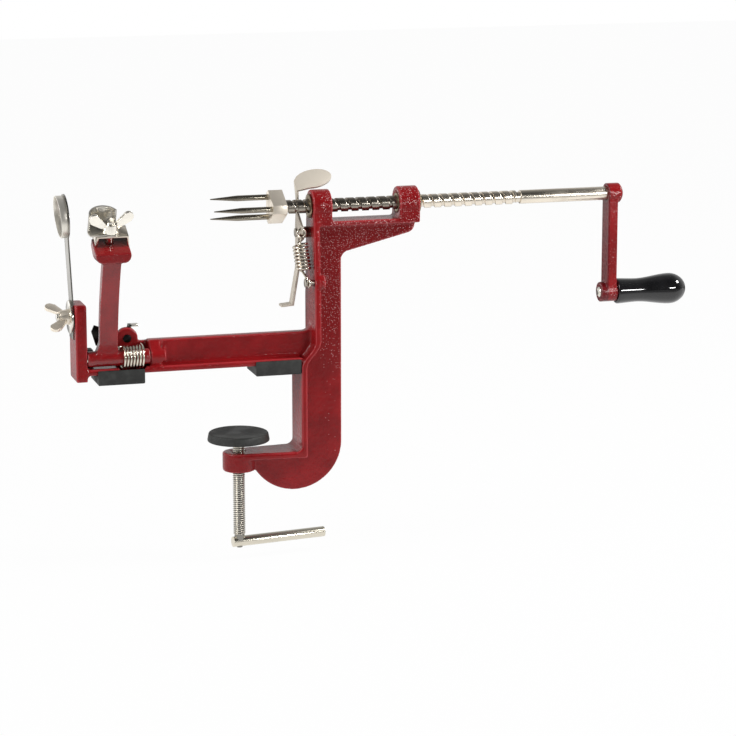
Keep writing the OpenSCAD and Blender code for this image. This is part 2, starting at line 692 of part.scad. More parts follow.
// Crank and handle
module crank_arm() color(red) difference() {
    union() {
        translate([crank_x, 0, shaft_z]) rotate([0, 90, 0]) rotate_extrude() intersection() {
            translate([0, crank_hub_l - dome_r]) circle(dome_r);
            square([hub_r, crank_hub_l]);
        }
        span([crank_x, -crank_w / 2, crank_z], [crank_x + crank_t, crank_w / 2, shaft_z]);
        x_rod(hub_r, handle_left, handle_right, 0, crank_z);
    }
    x_rod(shaft_r + seat_gap, crank_x - joint, crank_x + end_depth + 0.2, 0, shaft_z);
    x_rod(handle_pin_d / 2 + seat_gap, handle_left - joint, handle_right + joint, 0, crank_z);
}
module handle_pin() color(steel) {
    x_rod(handle_pin_d / 2, handle_left, grip_x + grip_l * 0.62, 0, crank_z);
    translate([handle_left, 0, crank_z]) rotate([0, -90, 0])
        cylinder(r1 = handle_pin_d / 2 + 0.9, r2 = handle_pin_d / 2 - 0.6, h = 1.3);
}
// Grip outline: a small collar, a long waist and a round bulb
function grip_radius(t) = t < 0.3 ? grip_end_d / 2 + (grip_waist_d - grip_end_d) / 2 * ease(t / 0.3)
    : t < 0.77 ? grip_waist_d / 2 + (grip_bulb_d - grip_waist_d) / 2 * ease((t - 0.3) / 0.47)
    : grip_bulb_d / 2 * sqrt(max(0, 1 - pow((t - 0.77) / 0.23, 2)));
module handle_grip() color(black) translate([grip_x, 0, crank_z]) rotate([0, 90, 0]) difference() {
    rotate_extrude() polygon(concat([[0, 0], [grip_end_d / 2 - 0.8, 0], [grip_end_d / 2, 0.8]],
        [for (i = [2 : 28]) [grip_radius(i / 30), grip_l * i / 30]],
        [for (i = [1 : 4]) let (t = 28 / 30 + i / 60 * 0.9) [grip_radius(t), grip_l * t]], [[0, grip_l]]));
    translate([0, 0, -joint]) cylinder(r = handle_pin_d / 2 + run_gap, h = grip_l * 0.62 + joint + move_gap);
}

// Release lever: its tooth follows the groove, its thumb paddle lifts it out
// The paddle lies in a plane folded along a sloping line: X along the screw, Y up the slope
module paddle_profile() {
    polygon([for (turn = [0:6:354]) paddle_mid
        + paddle_l / 2 * cos(turn) * [cos(paddle_turn), sin(paddle_turn)]
        + paddle_w / 2 * sin(turn) * [-sin(paddle_turn), cos(paddle_turn)]]);
    polygon([[0, -5], [paddle_mid[0] - 3.4, paddle_mid[1] - paddle_low + 0.1], paddle_mid, [2.6, paddle_mid[1] + 2.8],
        [0, 5]]);
}
module lever_plate() {
    low = lever_pivot_y - lever_w / 2;
    fold = tan(paddle_slope);
    waist_z = shaft_z - shaft_r;
    polygon([[low, kink_z], [low + lever_w, kink_z], [low + lever_w, lever_pivot_z + 5], [lever_waist, waist_z - 2],
        [lever_waist, shaft_z + shaft_r], [paddle_y + 4, paddle_z + 4 * fold + 0.4],
        [lever_back, paddle_z + (lever_back - paddle_y) * fold + 0.4], [lever_back, waist_z],
        [tab_y - 2.6, tab_z + 2], [tab_y - 2.6, tab_z - 2.6], [low, tab_z - 5]]);
}
module release_lever() color(nickel) difference() {
    union() {
        end_slab(lever_x, lever_x + lever_t) lever_plate();
        span([lever_mid - tooth_t / 2, shaft_r - tooth_entry, shaft_z - tooth_h / 2],
            [lever_mid + tooth_t / 2, lever_back + joint, shaft_z + tooth_h / 2]);
        translate([lever_x, paddle_y, paddle_z]) rotate([paddle_slope, 0, 0])
            linear_extrude(lever_t) paddle_profile();
        side_slab(lever_pivot_y - lever_w / 2, lever_pivot_y + lever_w / 2)
            polygon([[lever_x, kink_z + joint], [lever_x, kink_z], [lever_x - tail_lean, foot_tab_z + lever_t],
                [lever_x - tail_lean - foot_tab_l, foot_tab_z + lever_t - 0.7],
                [lever_x - tail_lean - foot_tab_l, foot_tab_z - 0.7], [lever_x - tail_lean + lever_t, foot_tab_z],
                [lever_x + lever_t, kink_z], [lever_x + lever_t, kink_z + joint]]);
    }
    x_rod(lever_pivot_d / 2 + run_gap, lever_x - joint, lever_x + lever_t + joint, lever_pivot_y, lever_pivot_z);
    x_rod(tab_hole_r, lever_x - joint, lever_x + lever_t + joint, tab_y, tab_z);
}
module lever_pivot() color(steel) {
    x_rod(lever_pivot_d / 2 - 0.6, post_x - joint, post_x + flange_t, lever_pivot_y, lever_pivot_z);
    x_rod(lever_pivot_d / 2 + 1.6, lever_x + lever_t + move_gap, post_x, lever_pivot_y, lever_pivot_z);
    x_rod(lever_pivot_d / 2, lever_x - move_gap - joint, lever_x + lever_t + move_gap + joint,
        lever_pivot_y, lever_pivot_z);
    x_rod(lever_pivot_d / 2 + 0.6, lever_x - move_gap - 0.9, lever_x - move_gap, lever_pivot_y, lever_pivot_z);
}
module spring_peg() color(steel) {
    x_rod(peg_d / 2, post_x - peg_l, post_x + flange_t + 2, peg_y, peg_z);
    x_rod(peg_d / 2 + 1.2, post_x - peg_l - 1.2, post_x - peg_l, peg_y, peg_z);
}
// Lever spring: hook on the peg, open curls, hook through the lever's hole
lever_low = [hook_x, peg_y + hook_r, peg_z];
lever_high = [lever_mid + eye_hook_r, tab_y, tab_z - eye_hook_r];
coil_foot = [lever_mid + 1.1, tab_y - 3, peg_z + 8];
coil_head = [lever_mid - 1.4, tab_y - 0.2, peg_z + 8 + lever_curls * lever_pitch];
lever_axis = unit(coil_head - coil_foot);
lever_side = unit(cross(lever_axis, [0, 1, 0]));
lever_cross = cross(lever_axis, lever_side);
function coil_reach(i, n) = lever_coil_d / 2 * min(1, (i + 1) / 4, (n - i + 1) / 4);
lever_path = concat(
    [for (a = [130 : 46 : 314]) [hook_x, peg_y + hook_r * cos(a), peg_z + hook_r * sin(a)]],
    [lever_low, lever_low * 0.5 + coil_foot * 0.5 + [0.4, 0, -1]],
    [for (i = [0 : 8 * lever_curls]) coil_foot + (coil_head - coil_foot) * i / (8 * lever_curls)
        + coil_reach(i, 8 * lever_curls) * (cos(i * 45) * lever_side + sin(i * 45) * lever_cross)],
    [lever_high - [0, 0, 3.5], lever_high],
    [for (a = [45 : 45 : 180]) [lever_mid + eye_hook_r * cos(a), tab_y, tab_z - eye_hook_r + eye_hook_r * sin(a)]],
    [[lever_mid - eye_hook_r, tab_y, tab_z - eye_hook_r - lever_wire_d]]);
module lever_spring() color(steel) {
    echo("lever_spring least gap", least_gap(lever_path, lever_wire_d, 6));
    tube(lever_path, lever_wire_r, [1, 0, 0]);
}

// Slicing blade, coring ring and their fastening
// The blade's upper part leans away from the post: X through the sheet, Z up the blade
module on_blade() translate([blade_x, 0, bend_z]) rotate([0, -blade_lean, 0]) children();
module slicing_blade() color(steel) difference() {
    union() {
        span([blade_x, -blade_w / 2, stud_z - blade_tail], [plate_x, blade_w / 2, bend_z + 0.1]);
        on_blade() {
            span([0, -blade_w / 2, 0], [blade_t, blade_w / 2, blade_up]);
            end_slab(0, blade_t) translate([0, blade_up]) circle(ring_d / 2 + 1);
        }
    }
    on_blade() end_slab(-joint, blade_t + joint) translate([0, blade_up]) circle(ring_d / 2 - ring_t);
    x_rod(stud_d / 2 + run_gap, blade_x - joint, plate_x + joint, 0, stud_z);
    on_blade() translate([0, -blade_w / 2, 0]) rotate([0, 0, atan2(blade_bevel, blade_t * 0.75)])
        span([-20, 0, 4], [0, 20, blade_up - ring_d / 2 - 2]);
}
module coring_ring() color(steel) difference() {
    x_rod(ring_d / 2, blade_x - ring_w - 0.01, blade_x, 0, shaft_z);
    x_rod(ring_d / 2 - ring_t, blade_x - ring_w - joint, blade_x + joint, 0, shaft_z);
    translate([blade_x - ring_w, 0, shaft_z + ring_d / 2]) rotate([0, -ring_lean, 0])
        span([-20, -ring_d, -2 * ring_d], [0, ring_d, ring_d]);
    on_blade() span([0, -ring_d, blade_up - ring_d], [20, ring_d, blade_up + ring_d]);
}
module blade_stud() color(steel)
    x_rod(stud_d / 2, washer_x - nut_hub_h - 2, plate_end, 0, stud_z);
module blade_washer() color(steel) difference() {
    x_rod(washer_d / 2, washer_x, blade_x, 0, stud_z);
    x_rod(stud_d / 2 + run_gap, washer_x - joint, blade_x + joint, 0, stud_z);
}
module wing_nut() color(nickel) difference() {
    union() {
        cylinder(r1 = nut_hub_d / 2, r2 = nut_hub_d / 2 - 1.2, h = nut_hub_h);
        for (side = [0, 180]) rotate([0, 0, side]) side_slab(-nut_wing_t / 2, nut_wing_t / 2) {
            translate([nut_reach - nut_tip_r, nut_wing_h - nut_tip_r]) circle(nut_tip_r);
            polygon([[nut_hub_d / 2 - 2, 1], [nut_reach - nut_tip_r * 0.3, nut_wing_h - 1.95 * nut_tip_r],
                [nut_reach - 1.7 * nut_tip_r, nut_wing_h - 0.35 * nut_tip_r], [nut_hub_d / 2 - 2, nut_hub_h - 0.4]]);
        }
    }
    translate([0, 0, -joint]) cylinder(r = stud_d / 2 + seat_gap, h = nut_hub_h + 2 * joint);
}
module blade_wing_nut() translate([washer_x, 0, stud_z]) rotate([0, -90, 0]) rotate([0, 0, slicer_nut_turn]) wing_nut();

// Peeling head in its slope's own frame: X across, Y up the slope, Z out of it
module on_slope() translate([peel_x, stud_point[0], stud_point[1]]) rotate([head_tilt, 0, 0]) children();
module on_bridge() on_slope() translate([0, 0, bracket_gap]) children();
module arm_head() intersection() {
    end_slab(head_x - head_w / 2, head_x + head_w / 2) polygon([[head_front, head_z], slope_front,
        slope_front + head_slope_l * slope_way, slope_front + head_slope_l * slope_way + 6 * slope_down,
        [arm_head_y + peel_t / 2, head_z]]);
    side_slab(-2 * head_w - 40, head_w) {
        translate([head_x - head_w / 2, head_z + head_r]) square([head_w, head_h + head_slope_l]);
        translate([head_x - head_w / 2 + head_r, head_z]) square([head_w - 2 * head_r, head_h]);
        for (side = [-1, 1]) translate([head_x + side * (head_w / 2 - head_r), head_z + head_r]) circle(head_r);
    }
}
module peeling_arm() color(red) difference() {
    union() {
        x_rod(barrel_d / 2, barrel_start, barrel_end, pivot_y, pivot_z);
        end_slab(peel_x - peel_w / 2, peel_x + peel_w / 2) intersection() {
            difference() {
                translate([bow_y, bow_z]) circle(peel_bow + peel_t / 2, $fn = 360);
                translate([bow_y, bow_z]) circle(peel_bow - peel_t / 2, $fn = 360);
            }
            translate([pivot_y - 40, pivot_z]) square([60, head_z - pivot_z + 2]);
        }
        side_slab(pivot_y - 4.6, pivot_y + 4.6) polygon([[peel_x - peel_w / 2 - 4, pivot_z],
            [peel_x + peel_w / 2 + 0.4, pivot_z], [peel_x + peel_w / 2 - joint, pivot_z + 13],
            [peel_x - peel_w / 2 + joint, pivot_z + 13]]);
        arm_head();
    }
    x_rod(pivot_d / 2 + run_gap, plate_x, lug_x + lug_t, pivot_y, pivot_z);
    on_slope() z_rod(stud_d / 2 + seat_gap, -stud_depth - 0.2, joint, 0, 0);
}
module peeler_bracket() color(nickel) on_bridge() difference() {
    half = bracket_w / 2;
    foot = half + bracket_splay;
    translate([bracket_off, 0, 0]) side_slab(-bracket_front, bracket_front + 1.5) polygon([[-half, sheet_t],
        [half, sheet_t], [foot, -bracket_gap], [foot - sheet_t, -bracket_gap], [half - sheet_t, 0],
        [sheet_t - half, 0], [sheet_t - foot, -bracket_gap], [-foot, -bracket_gap]]);
    z_rod(stud_d / 2 + run_gap, -joint, sheet_t + joint, 0, 0);
}
module peeling_blade() color(steel) on_bridge() difference() {
    union() {
        translate([0, 0, sheet_t]) linear_extrude(sheet_t) {
            intersection() {
                translate([-loop_offset, 0]) circle(loop_r);
                translate([-40, -5]) square([80, 40]);
            }
            circle(nut_hub_d / 2 + 0.6);
        }
        translate([0, 0, 2 * sheet_t - 0.1]) linear_extrude(loop_h) intersection() {
            translate([-loop_offset, 0]) difference() {
                circle(loop_r);
                circle(loop_r - sheet_t);
            }
            polygon([[-2 * loop_r, loop_clear], [-loop_offset, loop_clear], [0, nut_hub_d / 2 - joint],
                [2 * loop_r, nut_hub_d / 2 - joint], [2 * loop_r, 2 * loop_r], [-2 * loop_r, 2 * loop_r]]);
        }
    }
    z_rod(stud_d / 2 + run_gap, 0, 2 * sheet_t + joint, 0, 0);
}
module peeler_stud() color(steel) on_slope()
    z_rod(stud_d / 2, -stud_depth, bracket_gap + 2 * sheet_t + nut_hub_h + 2, 0, 0);
module peeler_wing_nut() on_bridge() translate([0, 0, 2 * sheet_t]) rotate([0, 0, 5]) wing_nut();
module pivot_rod() color(steel) x_rod(pivot_d / 2, plate_x + 2.2, lug_x + lug_t + pivot_boss_l - 1.4, pivot_y, pivot_z);

// Arm spring: a straight end on the arm, close curls, a straight end on the ear's wall
arm_path = concat(
    [for (x = [-2.2, -1, -0.3]) [arm_spring_x + x, pivot_y, pivot_z + arm_coil_r]],
    [for (i = [1 : 8 * arm_curls]) [arm_spring_x + i * arm_pitch / 8,
        pivot_y + arm_coil_r * sin(-i * 45), pivot_z + arm_coil_r * cos(i * 45)]],
    [for (y = [2, 4.5, ear_y - pivot_y - 0.3]) [arm_spring_end + 0.3, pivot_y - y, pivot_z + arm_coil_r]]);
arm_spring_path = [for (p = arm_path) [p[0], 2 * pivot_y - p[1], p[2]]];
module arm_spring() color(steel) {
    echo("arm_spring least gap", least_gap(arm_spring_path, arm_wire_d, 6));
    tube(arm_spring_path, arm_wire_d / 2, [0, 0, 1]);
}

// Latch that holds the arm clear, its pin and the rubber bumper
module arm_latch() color(steel) difference() {
    union() {
        side_slab(latch_y, latch_y + latch_t) {
            translate([latch_pin_x, ear_z]) circle(latch_pin_d / 2 + 3);
            polygon([[latch_pin_x, ear_z - 4.6], [latch_pin_x, ear_z + 4.6], [latch_pin_x - 10, ear_z + 5],
                [latch_pin_x - latch_reach + 2, ear_z + 9.5], [latch_pin_x - latch_reach, ear_z + 5],
                [latch_pin_x - latch_reach + 3, ear_z - 5]]);
            polygon([[latch_pin_x, ear_z], [latch_pin_x + 4, ear_z], [latch_pin_x + 4.2, ear_z + 9.4],
                [latch_pin_x + 1.6, ear_z + 9.4]]);
        }
        span([latch_pin_x + 1.6, ear_y + 0.6, ear_z + 9.4 - latch_t],
            [latch_pin_x + 8.4, latch_y + latch_t, ear_z + 9.4]);
    }
    y_rod(latch_pin_d / 2 + run_gap, latch_y - joint, latch_y + latch_t + joint, latch_pin_x, ear_z);
}
module latch_pin() color(steel) {
    y_rod(latch_pin_d / 2, ear_y, latch_y + latch_t + move_gap + joint, latch_pin_x, ear_z);
    y_rod(latch_pin_d / 2 + 0.9, ear_y - 0.9, ear_y, latch_pin_x, ear_z);
    y_rod(latch_pin_d / 2 + 1.2, latch_y + latch_t + move_gap, latch_y + latch_t + move_gap + joint, latch_pin_x, ear_z);
}
module arm_bumper() color(rubber)
    span([plate_end, ear_y + 1.4, foot_top], [plate_end + bumper_l, foot_w / 2 - 1, foot_top + bumper_h]);

// Clamp
module clamp_screw() color(steel) difference() {
    union() {
        z_rod(clamp_d / 2, bar_z, cap_z - move_gap, clamp_x, 0);
        z_rod(tip_d / 2, cap_z - joint, cap_z + swivel_t - move_gap, clamp_x, 0);
        z_rod(rivet_d / 2, bar_z - bar_d / 2 - 0.6, bar_z + joint, clamp_x, 0);
    }
    translate([clamp_x, 0, bar_z]) rotate([0, 0, bar_turn]) difference() {
        x_rod(bar_d / 2 + seat_gap, -clamp_d, clamp_d, 0, 0);
        z_rod(rivet_d / 2, -bar_d, bar_d, 0, 0);
    }
}
module cross_bar() color(steel) difference() {
    translate([clamp_x, 0, bar_z]) rotate([0, 0, bar_turn]) x_rod(bar_d / 2, -clamp_d / 2 - 0.6, bar_l - clamp_d / 2 - 0.6, 0, 0);
    z_rod(rivet_d / 2 + seat_gap, bar_z - bar_d, bar_z + bar_d, clamp_x, 0);
}
module clamp_swivel() color(steel) difference() {
    z_rod(swivel_d / 2, cap_z, cap_z + swivel_t, clamp_x, 0);
    z_rod(tip_d / 2 + run_gap, cap_z - joint, cap_z + swivel_t + joint, clamp_x, 0);
}
module clamp_pad() color(rubber) translate([clamp_x, 0, cap_z]) difference() {
    rotate_extrude() polygon([[0, 0], [cap_foot_d / 2, 0], [cap_foot_d / 2, 1], [cap_top_d / 2, cap_h - 0.6],
        [cap_top_d / 2 - 0.7, cap_h], [0, cap_h]]);
    translate([0, 0, -joint]) cylinder(r = swivel_d / 2 + seat_gap, h = swivel_t + joint);
}

frame_casting();
clamp_side_pad();
far_pad();
left_bush();
right_bush();
feed_screw();
fork_block();
front_prong();
upper_prong();
lower_prong();
crank_arm();
handle_pin();
handle_grip();
release_lever();
lever_pivot();
lever_spring();
spring_peg();
slicing_blade();
coring_ring();
blade_stud();
blade_washer();
blade_wing_nut();
peeling_arm();
peeler_bracket();
peeling_blade();
peeler_stud();
peeler_wing_nut();
pivot_rod();
arm_spring();
arm_latch();
latch_pin();
arm_bumper();
clamp_screw();
cross_bar();
clamp_swivel();
clamp_pad();
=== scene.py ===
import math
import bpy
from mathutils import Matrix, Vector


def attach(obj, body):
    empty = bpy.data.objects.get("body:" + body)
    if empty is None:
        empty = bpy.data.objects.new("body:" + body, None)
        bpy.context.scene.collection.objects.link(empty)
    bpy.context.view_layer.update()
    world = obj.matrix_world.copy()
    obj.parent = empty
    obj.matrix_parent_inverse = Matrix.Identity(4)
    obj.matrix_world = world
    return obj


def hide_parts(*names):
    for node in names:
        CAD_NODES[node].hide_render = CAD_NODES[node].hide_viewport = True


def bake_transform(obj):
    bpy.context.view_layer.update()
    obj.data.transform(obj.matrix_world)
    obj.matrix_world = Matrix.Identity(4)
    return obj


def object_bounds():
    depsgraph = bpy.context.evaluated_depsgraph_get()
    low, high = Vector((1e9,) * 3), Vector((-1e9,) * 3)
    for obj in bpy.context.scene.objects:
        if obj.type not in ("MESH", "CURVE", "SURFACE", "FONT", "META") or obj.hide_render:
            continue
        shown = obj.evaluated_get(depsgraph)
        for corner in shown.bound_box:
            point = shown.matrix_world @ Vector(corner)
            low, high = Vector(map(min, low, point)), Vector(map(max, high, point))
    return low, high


bl_info = {
    "name": "Apple Peeler",
    "version": (1, 0, 0),
    "blender": (4, 5, 0),
    "location": "3D View > Sidebar > Peeler",
    "description": "Dresses the packed apple peeler: cast skins, threads, wound springs, finishes and studio",
    "category": "Object",
}

import bpy
from mathutils import Matrix, Vector

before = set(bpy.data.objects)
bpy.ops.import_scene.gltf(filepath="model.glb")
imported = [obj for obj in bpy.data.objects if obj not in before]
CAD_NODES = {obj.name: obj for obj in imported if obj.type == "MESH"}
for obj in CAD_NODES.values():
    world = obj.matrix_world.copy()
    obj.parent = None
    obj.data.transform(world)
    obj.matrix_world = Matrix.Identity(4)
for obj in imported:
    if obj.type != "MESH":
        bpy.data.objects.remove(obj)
CAD_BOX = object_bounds()
MM = 0.001

# Distances within which points are welded, in metres
WELD = 1e-6
FINE_WELD = 1e-7

# Places and sizes that the pieces share with the solids, in millimetres
SHAFT_Z = 116.5
SHAFT_R = 4.85
SCREW_START = 0.4
GROOVE_END = 177.7
NECK_END = 181.1
NECK_R = 3.7
SHANK_END = 253.9
FEED_LEAD = 7.6
LEVER_MID = 19.45
CLAMP_X = -26.3
CLAMP_R = 4.4
CLAMP_TOP = -48.2
BAR_Z = -121.7
CRANK_LEFT = 247.6
STUD_X = -134.8
STUD_Z = 47.0
STUD_R = 3.0
STUD_LENGTH = 19.0
PIVOT_Y = -8.0
PIVOT_Z = 18.0
ARM_COIL_R = 7.4

# Room under the clamp at rest, so that its travel stays clear of the floor, in metres
FLOOR_ROOM = 0.009

# Half of the feed groove's section, from the crest to its floor: depth and distance from its middle
GROOVE_HALF = ((0.0, 1.72), (0.0, 1.5), (0.08, 1.34), (0.88, 1.04), (1.0, 0.84))

# Steps in one turn of the feed groove and of a cut thread
FEED_STEPS = 40
THREAD_STEPS = 30

# Angles in degrees above which an edge stays sharp
SHARP_EDGE = 38.0
SHARP_THREAD = 30.0
SHARP_WIRE = 60.0

# What a mask gives across its span
RISING = (0.0, 1.0)
FALLING = (1.0, 0.0)


class PeelerSizes(bpy.types.PropertyGroup):
    """Sizes of the finish that a user would change"""

    casting_grid: bpy.props.FloatProperty(
        name="Casting grid", description="Grid on which the frame's rounded skin is drawn",
        default=0.0009, min=0.0006, max=0.003, precision=5, unit="LENGTH")
    casting_rounds: bpy.props.IntProperty(
        name="Casting rounding", description="Smoothing passes that round the cast edges",
        default=5, min=1, max=20)
    sheet_edge: bpy.props.FloatProperty(
        name="Sheet edge", description="Radius on the edges of the pressed sheet pieces",
        default=0.0002, min=0.00005, max=0.0005, precision=5, unit="LENGTH")
    rubber_edge: bpy.props.FloatProperty(
        name="Rubber edge", description="Radius on the edges of the rubber pads",
        default=0.0011, min=0.0002, max=0.002, precision=5, unit="LENGTH")
    nut_edge: bpy.props.FloatProperty(
        name="Nut edge", description="Radius on the edges of the wing nuts",
        default=0.0007, min=0.0001, max=0.001, precision=5, unit="LENGTH")
    clamp_pitch: bpy.props.FloatProperty(
        name="Clamp pitch", description="Pitch of the clamp screw's thread",
        default=0.0015, min=0.0008, max=0.003, precision=5, unit="LENGTH")
    stud_pitch: bpy.props.FloatProperty(
        name="Stud pitch", description="Pitch of the blade stud's thread",
        default=0.0009, min=0.0005, max=0.002, precision=5, unit="LENGTH")


class PeelerColours(bpy.types.PropertyGroup):
    """Colours of the finishes"""

    enamel: bpy.props.FloatVectorProperty(
        name="Enamel", description="Red enamel of the castings", subtype="COLOR",
        size=4, default=(0.270, 0.0085, 0.0105, 1.0), min=0.0, max=1.0)
    # Deeper enamel for random tone and where flecks crowd, and painted shade in the corners of the casting
    enamel_deep_and_shade: bpy.props.FloatVectorProperty(
        name="Enamel, deep", description="Enamel where it gathers in the cast hollows", subtype="COLOR",
        size=4, default=(0.190, 0.006, 0.0075, 1.0), min=0.0, max=1.0)
    # Lighter enamel on standing edges: thinner paint there, and a painted highlight along them
    enamel_thin_and_sheen: bpy.props.FloatVectorProperty(
        name="Enamel, thin", description="Enamel where it thins over the cast edges", subtype="COLOR",
        size=4, default=(0.400, 0.040, 0.046, 1.0), min=0.0, max=1.0)
    # Painted shade: a near-black red for the crank's inner face, standing in for the shadow on that side
    crank_face_shade: bpy.props.FloatVectorProperty(
        name="Enamel, pooled", description="Enamel on the crank's inner face", subtype="COLOR",
        size=4, default=(0.105, 0.003, 0.006, 1.0), min=0.0, max=1.0)
    # Painted shade: near black, for the shadow under the peeler bracket on the head of the peeling arm
    bracket_shade: bpy.props.FloatVectorProperty(
        name="Soot", description="Grime on the head of the peeling arm", subtype="COLOR",
        size=4, default=(0.004, 0.003, 0.003, 1.0), min=0.0, max=1.0)
    # Painted glints: light pink flecks, raised and partly metallic, that stand in for glints on the enamel
    fleck: bpy.props.FloatVectorProperty(
        name="Fleck", description="Bright flecks in the enamel", subtype="COLOR",
        size=4, default=(0.780, 0.450, 0.450, 1.0), min=0.0, max=1.0)
    nickel: bpy.props.FloatVectorProperty(
        name="Nickel", description="Warm nickel plating", subtype="COLOR",
        size=4, default=(0.700, 0.635, 0.540, 1.0), min=0.0, max=1.0)
    steel: bpy.props.FloatVectorProperty(
        name="Steel", description="Bright polished steel", subtype="COLOR",
        size=4, default=(0.800, 0.765, 0.690, 1.0), min=0.0, max=1.0)
    # Painted reflection: the prongs' colour is darkened for the dark surroundings they mirror, over the
    # steel's own tone
    prong: bpy.props.FloatVectorProperty(
        name="Prong", description="Dark hardened steel of the prongs", subtype="COLOR",
        size=4, default=(0.330, 0.300, 0.240, 1.0), min=0.0, max=1.0)
    bronze: bpy.props.FloatVectorProperty(
        name="Bronze", description="Bearing bushes", subtype="COLOR",
        size=4, default=(0.340, 0.270, 0.180, 1.0), min=0.0, max=1.0)
    black: bpy.props.FloatVectorProperty(
        name="Black", description="Blackened steel of the latch pin", subtype="COLOR",
        size=4, default=(0.035, 0.030, 0.030, 1.0), min=0.0, max=1.0)
    rubber: bpy.props.FloatVectorProperty(
        name="Rubber", description="Pads, cap and bumper", subtype="COLOR",
        size=4, default=(0.0126, 0.0132, 0.0119, 1.0), min=0.0, max=1.0)
    grip: bpy.props.FloatVectorProperty(
        name="Grip", description="Gloss black handle grip", subtype="COLOR",
        size=4, default=(0.004, 0.004, 0.0045, 1.0), min=0.0, max=1.0)


# Enamels: how rare flecks are low and high on the casting, and what departs from the defaults
ENAMELS = {
    "enamel": dict(name="flecked_enamel", rare_low=0.97, rare_high=0.12),
    # The arm's plain enamel carries a painted shade under the bracket, darker from 97.5 mm up to 103 mm
    "enamel_plain": dict(name="plain_enamel", rare_low=1.0, rare_high=1.0, gloss=0.62, edge_wear_and_sheen=0.3,
                         bracket_shade=(97.5, 103.0)),
    # The crank's enamel carries a painted shade on its inner face, up to 0.8 mm past its left side
    "enamel_crank": dict(name="crank_enamel", rare_low=0.72, rare_high=0.80, gloss=0.36,
                         shaded_face=(CRANK_LEFT, CRANK_LEFT + 0.8)),
}

# Stretch of the grain: even, turned, drawn along a prong and brushed along a blade
EVEN = (1.0, 1.0, 1.0)
TURNED = (8.0, 1.0, 1.0)
DRAWN = (6.0, 1.0, 1.0)
BRUSHED = (1.0, 6.0, 0.6)

# Painted shade, partly grime, in the roots of a groove or thread: axes across it, its centre, the span of
# radii and the tone
FEED_ROOTS = dict(axes="YZ", centre=(0.0, SHAFT_Z), span=(SHAFT_R - 0.95, SHAFT_R - 0.05), share=0.85)
CLAMP_ROOTS = dict(axes="XY", centre=(CLAMP_X, 0.0), span=(3.65, 4.25), share=0.32)

# Dark stretches that end at a place along x: painted shade on the screw between the eyes, and a darker latch
# beside its tab
SHADED_SCREW = dict(span=(96.0, 108.0), share=0.38)
DARK_LATCH = dict(span=(-101.6, -100.6), share=0.05)

# Metals: base colour, share of it, roughness range and what departs from the defaults
METALS = {
    "nickel": dict(name="plated_nickel", base="nickel", rough=(0.20, 0.34)),
    "satin": dict(name="satin_nickel", base="nickel", tint=0.90, rough=(0.52, 0.58), bump=0.03, dull=0.96,
                  metallic=0.4),
    "turned": dict(name="turned_nickel", base="nickel", tint=1.28, rough=(0.24, 0.34), along=TURNED,
                   dull=0.90, roots=FEED_ROOTS, zone=SHADED_SCREW),
    "thread": dict(name="clamp_thread", base="steel", rough=(0.18, 0.30), bump=0.05, dull=0.94,
                   roots=CLAMP_ROOTS),
    "block": dict(name="fork_nickel", base="nickel", tint=1.28, rough=(0.36, 0.44), bump=0.03, dull=0.92,
                  metallic=0.85),
    "bar": dict(name="cross_bar_steel", base="steel", tint=(0.86, 0.84, 0.78), rough=(0.24, 0.27), bump=0.01,
                dull=0.95),
    "edge": dict(name="blade_edge_steel", base="steel", tint=0.40, rough=(0.24, 0.30), along=BRUSHED,
                 bump=0.02, dull=0.95),
    "latch": dict(name="latch_steel", base="steel", rough=(0.20, 0.30), bump=0.03, dull=0.9,
                  zone=DARK_LATCH),
    "black": dict(name="black_steel", base="black", rough=(0.20, 0.30)),
    "steel": dict(name="polished_steel", base="steel", rough=(0.16, 0.28)),
    "prong": dict(name="prong_steel", base="prong", rough=(0.26, 0.34), along=DRAWN, bump=0.10),
    "bright": dict(name="bright_plate", base="steel", tint=1.2, rough=(0.18, 0.30), bump=0.05, dull=0.92),
    "blade": dict(name="ground_steel", base="steel", rough=(0.34, 0.40), along=BRUSHED, bump=0.03, dull=0.95,
                  metallic=0.85),
    "loop": dict(name="loop_steel", base="steel", tint=0.72, rough=(0.28, 0.34), along=BRUSHED, bump=0.03,
                 dull=0.95, metallic=0.92),
    "wire": dict(name="wound_wire", base="nickel", tint=1.05, rough=(0.18, 0.30), bump=0.05),
    "dark": dict(name="pin_steel", base="nickel", tint=0.55, rough=(0.28, 0.44)),
    "bronze": dict(name="bush_bronze", base="bronze", rough=(0.30, 0.45), bump=0.15),
}
FINISH = {}

# Studio: where the lamps aim, and their places, sizes and power
FRAME_MIDDLE = (0.05, 0.0, 0.02)
SCREW_SIDE = (0.15, 0.0, 0.05)
LAMPS = (
    dict(name="left_softbox", place=(-1.15, -0.40, 0.80), target=FRAME_MIDDLE, size=(0.6, 0.9), watts=13.0),
    dict(name="top_softbox", place=(0.80, -0.25, 1.15), target=SCREW_SIDE, size=(0.8, 0.5), watts=9.0,
         mirrored=False),
    dict(name="right_spark", place=(1.10, -0.30, 0.75), target=FRAME_MIDDLE, size=(0.24, 0.24), watts=9.0),
    dict(name="front_spark", place=(0.90, -1.45, 0.34), target=SCREW_SIDE, size=(0.44, 0.12), watts=9.0),
)
FLOOR_SIZE = 8.0
FLOOR_GREY = 0.62
FLOOR_GLOW = 0.97
CAMERA_LENS = 136.96
CAMERA_SENSOR = 36.0
CAMERA_PLACE = (-0.474411, -1.869633, 0.412230)
CAMERA_TILT = 78.0
CAMERA_AZIMUTH = 16.2


# Meshes
def pick(piece):
    bpy.ops.object.select_all(action="DESELECT")
    piece.select_set(True)
    bpy.context.view_layer.objects.active = piece


def edit_all(piece):
    pick(piece)
    bpy.ops.object.mode_set(mode="EDIT")
    bpy.ops.mesh.select_all(action="SELECT")


